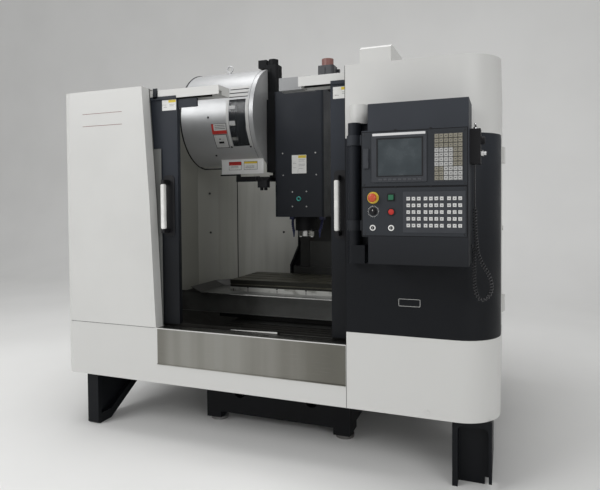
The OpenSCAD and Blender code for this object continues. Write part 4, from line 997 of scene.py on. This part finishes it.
def key_fields():
    """Backing plates of both key fields, the cover of the card slot, and the keys."""
    f = Form()
    for x0, x1, z0, z1 in ((1026, 1150, 1488, 1700), (889, 1160, 1262, 1446)):
        f.plate(x0, x1, z0, z1, 3, FIELD_Y, PANEL_Y, 0.6)
    f.plate(708, 734, 1554, 1646, 4, PANEL_Y - 10, PANEL_Y, 1.5, 4)
    f.box(728, 732, PANEL_Y - 12, PANEL_Y - 10, 1588, 1612, 0.6)
    f.piece("key_plates", "pendant", "bezel", "black_plastic", ("key_panels",))
    pale, beige = colour(0.42, 0.42, 0.41), colour(0.23, 0.215, 0.17)
    left, top, pitch_x, pitch_z = 1038, 1688, 20, 20.5
    spots, tints = [], []
    for row in range(10):
        for column in range(6):
            spots.append((left + pitch_x * column, FIELD_Y, top - pitch_z * row))
            is_pale = (3 <= row < 7 and column < 4) or (row >= 7 and column >= 2)
            tints.append(pale if is_pale else beige)
    key_rows.grow("data_keys", spots, "pendant", tints=tints, key_width=0.0178,
                  key_height=0.0182, bar_width=0.4)
    top, pitch_x, pitch_z = 1414, 23.3, 30
    blocks = ((914, 3), (990, 4), (1091, 3))
    spots = [(left + pitch_x * column, FIELD_Y, top - pitch_z * row)
             for left, columns in blocks for column in range(columns) for row in range(5)]
    key_rows.grow("machine_keys", spots, "pendant", tints=[colour(0.62, 0.62, 0.61)] * len(spots),
                  key_width=0.016, key_height=0.016, bar_width=0.36)


def emergency_button(x, z):
    """Yellow collar with a red mushroom."""
    Form().ring([(11.6, 0), (27, 0), (27, 4), (25.5, 6), (11.6, 6)], (x, PANEL_Y, z), OUT,
                40).piece("emergency_collar", "pendant", "yellow", "black_plastic")
    mushroom = [(0, -6), (11, -6), (11, 15), (17, 15.4), (19.3, 17), (20, 20), (19.6, 25),
                (17.5, 28.6), (13, 31), (6, 32), (0, 32)]
    Form().lathe(mushroom, (x, PANEL_Y, z), OUT, 40).piece(
        "emergency_mushroom", "emergency_stop", "orange", "red_plastic", ("emergency_button",))


def start_and_stop(start, stop):
    """A square green button and a round red one in their black frames."""
    (sx, sz), stop_centre = start, (stop[0], PANEL_Y, stop[1])
    inner, outer, cap = 12.4, 17, 12
    frames = Form()
    for x0, x1, z0, z1 in ((-outer, outer, inner, outer), (-outer, outer, -outer, -inner),
                           (-outer, -inner, -inner, inner), (inner, outer, -inner, inner)):
        frames.box(sx + x0, sx + x1, PANEL_Y - 5, PANEL_Y, sz + z0, sz + z1, 0.8)
    frames.ring([(13.4, 0), (18, 0), (18, 4), (16.5, 5), (13.4, 5)], stop_centre, OUT, 32)
    frames.piece("button_frames", "pendant", "black", "black_plastic")
    Form().plate(sx - cap, sx + cap, sz - cap, sz + cap, 2, PANEL_Y - 10, PANEL_Y + 6, 1.6).piece(
        "start_cap", "start_key", "green", "green_plastic", ("start_button",))
    round_cap = [(0, -6), (13, -6), (13, 8), (11.6, 9.6), (8, 10), (0, 10)]
    Form().lathe(round_cap, stop_centre, OUT, 32).piece(
        "stop_cap", "stop_key", "red", "red_plastic", ("stop_button",))


def override_dial(x, z):
    """Knob with a pointer, and the marks round it."""
    dial, centre = Form(), (x, PANEL_Y, z)
    dial.lathe([(0, 0.3), (17, 0.3), (17, 3.5), (15.5, 5.3), (0, 5.3)], centre, OUT, 36)
    dial.lathe([(0, 5.3), (11, 5.3), (10.4, 17), (9, 18.3), (0, 18.3)], centre, OUT, 18)
    dial.box(x - 1.2, x + 1.2, PANEL_Y - 18.6, PANEL_Y - 17.8, z + 2, z + 9, 0.0, 1)
    dial.piece("override_wheel", "override_dial", "black label", "black_plastic",
               ("override_knob",))
    dial_marks.grow("override_marks", [(x, PANEL_Y - 1.0, z)], "pendant", count=22)


def ring_switch(letter, x, z):
    """Round switch with a white ring and a slotted core."""
    Form().ring([(7.6, 0), (13.6, 0), (13.6, 4), (12, 5.4), (8.6, 5.4), (7.6, 4)],
                (x, PANEL_Y, z), OUT, 32).piece(
        "switch_ring_" + letter, "pendant", "grip", "handle_plastic")
    core = Form()
    core.lathe([(0, 0), (7.4, 0), (7.4, 7.6), (6.6, 8.8), (0, 8.8)], (x, PANEL_Y, z), OUT, 24)
    core.box(x - 1, x + 1, PANEL_Y - 9.6, PANEL_Y - 8.8, z - 4.5, z + 4.5, 0.0, 1)
    core.piece("switch_core_" + letter, "pendant", "black chrome", "black_plastic")


def hand_unit_dressing():
    """Chrome lock with its key, and the toggles' levers and collars."""
    lock = (1218, -105, 1614)
    f = Form()
    f.ring([(9.2, 0), (14.4, 0), (14.4, 11), (13, 12.6), (9.2, 12.6)], lock, SIDE, 28)
    f.lathe([(0, 12.2), (9.2, 12.2), (9.2, 22), (8, 24.4), (0, 24.4)], lock, SIDE, 24)
    f.piece("key_lock", "pendant", "chrome", "bright_steel")
    levers = Form()
    for y in (-128, -86):
        foot = (1195, y, 1722)
        levers.lathe([(0, 0), (8.3, 0), (8.3, 6), (7, 8.4), (0, 8.4)], foot, UP, 20)
        levers.lathe([(0, 8.2), (2.4, 8.2), (3.9, 24), (3.4, 26), (0, 26)], foot, UP, 16)
    levers.piece("toggle_levers", "pendant", "chrome", "bright_steel")


control_plates()
display_dressing()
key_fields()
emergency_button(753, 1420)
start_and_stop((836, 1421), (837, 1355))
override_dial(754, 1357)
ring_switch("a", 751, 1282)
ring_switch("b", 836, 1282)
hand_unit_dressing()

# ---------------------------------------------------------------- magazine cover

SKIRT_Y = 785.7
LABEL_THICK = 0.4
PRINT = (0.3, 0.3)


def drum_dressing():
    """Window pane, rubber edging, seam of the end ring and screws."""
    Form().patch(-441, -307, -38, 16, -6, 1.6, steps=24).piece(
        "magazine_pane", "enclosure", "drum_pane", "window_glass")
    rim = [on_drum(-590, -88, -1)] + [on_drum(-818, a, -1) for a in range(-88, 92, 4)]
    beads(rubber_bead, "drum_edging", [rim], "enclosure", "cord_rubber", bead_radius=0.0058)
    seam = [on_drum(-286, a, 0.2) for a in range(-56, 100, 4)]
    beads(seam_bead, "drum_seam", [seam], "enclosure", bead_radius=0.001)
    spots = [(-596, -2.7), (-603, -50), (-453, -38.6), (-308, -39.2)]
    outwards = [(0, -math.cos(math.radians(a)), math.sin(math.radians(a))) for _, a in spots]
    black_screws.grow("drum_screws", [on_drum(x, a) for x, a in spots], "enclosure",
                      facings=outwards, head_radius=0.0075, head_height=0.004)


def drum_labels():
    """Two plain silver fields: the upper one has a red edge and bars, the lower one a dark frame."""
    red, dark = 1, 2
    f = Form()
    x0, x1, low, high = -576, -462, -22.0, -10.2
    f.patch(x0, x1, low, high, 0, LABEL_THICK)
    for edge in (x0, x1 - 2.5):
        f.patch(edge, edge + 2.5, low, high, *PRINT, dark, 6)
    f.patch(x0, x1, high - 0.4, high, *PRINT, dark, 2)
    for a in (-12.6, -14.4, -16.2):
        f.patch(-550, -472, a, a + 0.5, *PRINT, dark, 2)
    f.patch(x0, x1, low, -18.0, *PRINT, red, 6)
    f.patch(x0, x0 + 16, -18.0, high, *PRINT, red, 6)
    x0, x1, low, high = -572, -468, -39.4, -22.6
    f.patch(x0, x1, low, high, 0, LABEL_THICK)
    for left, right, a0, a1 in ((x0, x0 + 3.5, low, high), (x1 - 3.5, x1, low, high),
                                (x0, x1, -23.1, -22.5), (x0, x1, low, -38.8),
                                (-532, -520, -28.6, -27.4), (-540, -500, -33.5, -31.0)):
        f.patch(left, right, a0, a1, *PRINT, dark, 6)
    f.piece("drum_label", "enclosure", "silver label_red shadow")


def drum_trim():
    """Bright strips beside the window, and three slats over it with a painted shadow under each."""
    f = Form()
    for x0, x1 in ((-456, -440), (-308, -288)):
        f.patch(x0, x1, -40, 16, 0, 0.8, 0, 24)
    for a in (19.0, 24.0, 29.0):
        f.patch(-441, -300, a, a + 3.0, 0, 2.5, 0, 4)
        # Painted shadow under each slat.
        f.patch(-441, -300, a - 0.7, a, 0, 0.8, 1, 3)
    f.piece("drum_trim", "enclosure", "silver shadow")


def skirt_labels():
    """Two plain label fields on the straight plate, with a red and a yellow header."""
    y, top = SKIRT_Y, 1696
    f = Form()
    for x0, x1, header_z, header in ((-528, -428, 1670, 1), (-408, -303, 1680, 2)):
        f.box(x0, x1, y - 0.4, y + 0.2, 1637, top, 0, 3)
        f.box(x0 + 2, x1 - 2, y - 0.6, y, 1639, top - 2, 0, 0)
        f.box(x0 + 2, x1 - 2, y - 0.8, y, header_z, top - 2, 0, header)
        for z in (1652, 1661):
            f.box(x0 + 12, x1 - 24, y - 0.8, y, z, z + 2.2, 0, 3)
    f.piece("skirt_labels", "enclosure", "label label_red label_yellow shadow")


def changer_dressing():
    """Bracket under the magazine, with a thin dark strip under the straight plate that stands for
    its edge and a painted shadow, and the two-pronged finger on the tool arm.
    """
    # The first box is the thin dark strip under the straight plate: partly its edge, partly painted
    # shadow.
    Form().boxes(
        (-600, -455, 790, 802, 1597, 1606, 1), (-470, -291, 782, 800, 1552, 1588, 2),
        (-470, -440, 784, 800, 1588, 1606, 1)).piece(
        "pot_bracket", "enclosure", "black", "black_plastic")
    Form().boxes(
        (-260, -188, 690, 740, 1506, 1557, 3), (-246, -232, 700, 730, 1488, 1507, 2),
        (-216, -202, 700, 730, 1488, 1507, 2)).piece(
        "arm_finger", "change_arm", "black", "black_plastic")


drum_dressing()
drum_labels()
drum_trim()
skirt_labels()
changer_dressing()

# ---------------------------------------------------------------- labels and lines

HEAD_Y = 800


def label(name, body, x0, x1, z0, z1, y, header, lines):
    """A plain white label with a yellow header and a few plain lines."""
    f = Form()
    f.prism(rounded(x0, x1, z0, z1, 2, 3), "xz", y - 0.5, y)
    hx0, hx1, hz0, hz1 = header
    f.box(hx0, hx1, y - 0.7, y - 0.2, hz0, hz1, 0, 1)
    for lx0, lx1, lz in lines:
        f.box(lx0, lx1, y - 0.7, y - 0.2, lz, lz + 1.8, 0, 2)
    f.piece(name, body, "label label_yellow label_line")


label("left_door_label", LEFT_DOOR, -601, -503, 1957, 2020, DOOR_Y, (-556, -505, 2003, 2018),
      [(-550, -512, 1990), (-550, -520, 1982), (-590, -566, 1975)])
label("right_door_label", RIGHT_DOOR, 469, 567, 1947, 2009, DOOR_Y, (514, 565, 1992, 2007),
      [(519, 556, 1979), (519, 548, 1971), (480, 502, 1964)])
label("head_label", "head", -49, 57, 1601, 1727, HEAD_Y, (-2, 55, 1706, 1724),
      [(0, 48, 1694), (0, 40, 1684), (-40, -16, 1668), (0, 46, 1662), (0, 44, 1652),
       (-40, -20, 1640), (0, 30, 1634)])


def painted_lines():
    """Two red lines on the left panel and a bare plate with a pale outline on the right."""
    f = Form()
    for z in (1956, 1881):
        f.box(-1126, -829, -0.5, 0.1, z - 1.3, z + 1.3)
    f.piece("panel_stripes", "enclosure", "stripe")
    plate_y = -1.2
    Form().plate(825, 937, 882, 925, 5, plate_y, 0, 0.4, 4).piece(
        "bare_plate", "enclosure", "dark", "dark_paint")
    line = [(x, plate_y, z) for x, z in rounded(829, 933, 886, 921, 4, 4)]
    beads(outline_bead, "plate_outline", [line + line[:1]], "enclosure", bead_radius=0.0008)


painted_lines()

# ---------------------------------------------------------------- head, walls and table

WALL_FOOT, WALL_TOP = 650, 2046


def head_dressing():
    """Screws of the two small covers on the head, and the ring with a green rim."""
    spots = [(-117, 1742), (123, 1738), (-114, 1591), (128, 1590), (-46, 1475), (56, 1477),
             (-47, 1375), (56, 1374)]
    front_screws(bright_screws, "head_screws", spots, HEAD_Y, "head", 0.005, 0.003)
    centre = (0, HEAD_Y, 1428)
    Form().ring([(9, -8), (16, 0), (16, 5), (13.5, 7), (9.4, 5)], centre, OUT, 32).piece(
        "head_ring", "head", "ring")
    Form().lathe([(0, -6), (9.2, -6), (9.2, 2.5), (7, 3.6), (0, 3.6)], centre, OUT, 24).piece(
        "head_ring_core", "head", "black", "black_plastic")


def column_seal():
    """Rubber lip between the inner wall and the column, wider at the column's foot."""
    front, back = 1402, 1439
    inner = [(296, WALL_FOOT), (296, 894), (226, 1054), (226, WALL_TOP)]
    outer = [(309, WALL_FOOT), (309, 899), (239, 1059), (239, WALL_TOP)]
    f = Form()
    for s in (-1, 1):
        for corners in zip(inner, outer, outer[1:], inner[1:]):
            f.prism([(s * x, z) for x, z in corners], "xz", front, back)
    f.piece("column_seal", "enclosure", "black", "cord_rubber", sharp=20)


def hung_plates():
    """The plate that hangs behind the spindle housing, and the rails' lower end covers."""
    half = 215
    Form().boxes((-half, half, 1386, 1391, 1096, 1312, 0.8),
                 (-134, -93, 1383, 1386.5, 1098, 1310, 0.6, 1)).piece(
        "hung_plate", "head", "hung brown")
    Form().boxes((-half, -137, 1395, 1439.5, 892, 1104, 1),
                 (137, half, 1395, 1439.5, 892, 1104, 1)).piece(
        "rail_covers", "enclosure", "hung", "dull_steel")


def apron_wings():
    """Ends of the apron's front plate, which is wider than its box, with the turned lip."""
    foot, top, plate_y, lip_y = 645, 785, 629.0, 615.5
    f = Form()
    for x0, x1 in ((-850, -799.9), (799.9, 850)):
        f.boxes((x0, x1, plate_y, plate_y + 2, foot, top, 0.4),
                (x0, x1, lip_y, plate_y + 0.2, foot, foot + 2, 0.4))
    f.piece("apron_wings", "saddle", "guard", "dull_steel")


def sill_dressing():
    """Stainless cover on the sill, and the strip along the doors' lower guide, whose pale wedge is a
    painted reflection.
    """
    sill_z, strip_z, strip_y = 667, 667.6, (95.3, 96.8)
    Form().box(-598, 555, 1, 79, sill_z, sill_z + 1.4, 0.5).piece(
        "sill_cover", "enclosure", "sill", "bright_steel")
    f = Form()
    # Painted reflection: a white wedge where the metal strip shines.
    f.prism([(-160, strip_z), (132, strip_z), (132, 677), (-160, 669.4)], "xz", *strip_y, 0.3)
    f.prism([(150, strip_z), (455, strip_z), (455, 673), (150, 672)], "xz", *strip_y, 0.3,
            material=1)
    f.piece("guide_strip", "enclosure", "label grey_edge", "bright_steel")


def beam_bracket():
    """Small bracket on the left beam, over the left door."""
    Form().boxes((-660, -628, 76, 80, 2030, 2092, 0.8),
                 (-656, -632, 70, 76, 2040, 2064, 0.8)).piece(
        "beam_bracket", "enclosure", "dark", "dark_paint")


def wall_dressing():
    """Bolts, seams and corner seals of the inner walls, the same on both sides."""
    slant = (0.713, -0.701, 0)
    left = [((-929, 1199, 1482), slant), ((-926, 1203, 1163), slant),
            ((-363, 1407, 1163), OUT), ((-282, 1407, 937), OUT)]
    right = [((-x, y, z), (-d[0], d[1], d[2])) for (x, y, z), d in left]
    points, outwards = zip(*left, *right)
    black_screws.grow("wall_bolts", points, "enclosure", facings=outwards, head_radius=0.009,
                      head_height=0.005)
    for name, x, y, radius in (("wall_seams", 998, 700, 0.0018),
                               ("corner_seals", 783, 1406.5, 0.0042)):
        lines = [[(s * x, y, WALL_FOOT), (s * x, y, WALL_TOP)] for s in (-1, 1)]
        beads(seam_bead, name, lines, "enclosure", bead_radius=radius)


def table_dressing():
    """Dark plugs along the front of the table, dark marks of painted shade in its short notches, and
    the tray's bright hem.
    """
    table_y, plugs = 640, (-315, -100, 106, 315)
    front_screws(black_screws, "table_screws", [(x, 824) for x in plugs], table_y, "table",
                 0.006, 0.0025)
    f = Form()
    # Painted shade: flat dark marks where the short notches are.
    for x in (-425, *plugs, 425):
        f.box(x - 2.2, x + 2.2, table_y - 0.6, table_y + 0.2, 797, 815)
    f.piece("table_notch_shade", "table", "shadow")
    Form().box(-604, 604, 508.8, 511.2, 794.6, 799.5, 0.6).piece(
        "tray_hem", "table", "ground", "bright_steel")


head_dressing()
column_seal()
hung_plates()
apron_wings()
sill_dressing()
beam_bracket()
wall_dressing()
table_dressing()

# ---------------------------------------------------------------- panel seams


def panel_seams():
    """Dark joints between the outer panels, the last one round the curved front corner."""
    proud = -0.2
    trough_z, block_x, block_z = 667, 558, 737
    corner_x, corner_y, corner_r = 1100, 200, 200.2
    front = [[(-1240, proud, trough_z), (-609, proud, trough_z)],
             [(block_x, proud, 341), (block_x, proud, 2094)],
             [(560, proud, block_z), (1099, proud, block_z)]]
    turns = [math.radians(9 * i) for i in range(11)]
    around = [(corner_x + corner_r * math.sin(a), corner_y - corner_r * math.cos(a), block_z)
              for a in turns]
    front.append([(block_x, proud, block_z), *around, (1300.2, 419, block_z)])
    beads(seam_bead, "outer_joints", front, "enclosure", bead_radius=0.0011)


panel_seams()

# ---------------------------------------------------------------- stage and light


def studio_floor():
    """Pale floor that curves up into a backdrop."""
    f = Finish("studio_floor")
    grain = f.noise(0.8, 3.0).ramp(0.3, 0.7)
    f.done(f.blend(colour(0.78, 0.78, 0.77), colour(0.81, 0.81, 0.80), grain), 0.75)
    front, deep, wide, rise, top = -14.0, 6.5, 16.0, 2.5, 12.0
    profile = [(front, 0.0), (deep - rise, 0.0)]
    for a in (math.radians(10 * i) for i in range(1, 10)):
        profile.append((deep - rise + rise * math.sin(a), rise - rise * math.cos(a)))
    profile.append((deep, top))
    verts = [(x, y, z) for y, z in profile for x in (-wide, wide)]
    faces = [(2 * i, 2 * i + 1, 2 * i + 3, 2 * i + 2) for i in range(len(profile) - 1)]
    data = bpy.data.meshes.new("studio_floor")
    data.from_pydata(verts, [], faces)
    data.polygons.foreach_set("use_smooth", [True] * len(faces))
    data.materials.append(f.material)
    linked("studio_floor", data)


def lamp(name, place, aim, size, power):
    """A soft rectangular lamp that looks at a point."""
    light = bpy.data.lights.new(name, "AREA")
    light.shape, light.size, light.size_y = "RECTANGLE", size[0], size[1]
    light.energy = power
    made = linked(name, light)
    made.location = place
    made.rotation_mode = "QUATERNION"
    made.rotation_quaternion = (Vector(aim) - Vector(place)).to_track_quat("-Z", "Y")


def studio_sky():
    """Even sky that lights the object, and the paler backdrop that is seen."""
    world = bpy.data.worlds.new("studio_sky")
    bpy.context.scene.world = world
    world.use_nodes = True
    world.node_tree.nodes.clear()
    g = Graph(world.node_tree)
    path = g.add("ShaderNodeLightPath")
    seen = path.out("Is Camera Ray") + path.out("Is Glossy Ray") + path.out("Is Transmission Ray")
    lit = g.add("ShaderNodeBackground", None, {"Color": colour(1, 1, 1), "Strength": 0.46})
    backdrop = g.add(
        "ShaderNodeBackground", None, {"Color": colour(0.83, 0.83, 0.83), "Strength": 1.0})
    mixed = g.add("ShaderNodeMixShader", None, {0: seen, 1: lit, 2: backdrop})
    g.add("ShaderNodeOutputWorld", None, {0: mixed})
    bpy.context.scene.view_settings.view_transform = "Standard"


studio_floor()
lamp("key_lamp", (-3.6, -5.2, 4.4), (0, -0.6, 1.1), (3.5, 2.5), 160)
lamp("fill_lamp", (4.4, -4.6, 2.6), (0.2, -0.5, 1.0), (3.0, 2.5), 60)
lamp("roof_lamp", (-0.3, -0.2, 5.6), (0, 0, 1.0), (3.4, 3.0), 125)
studio_sky()
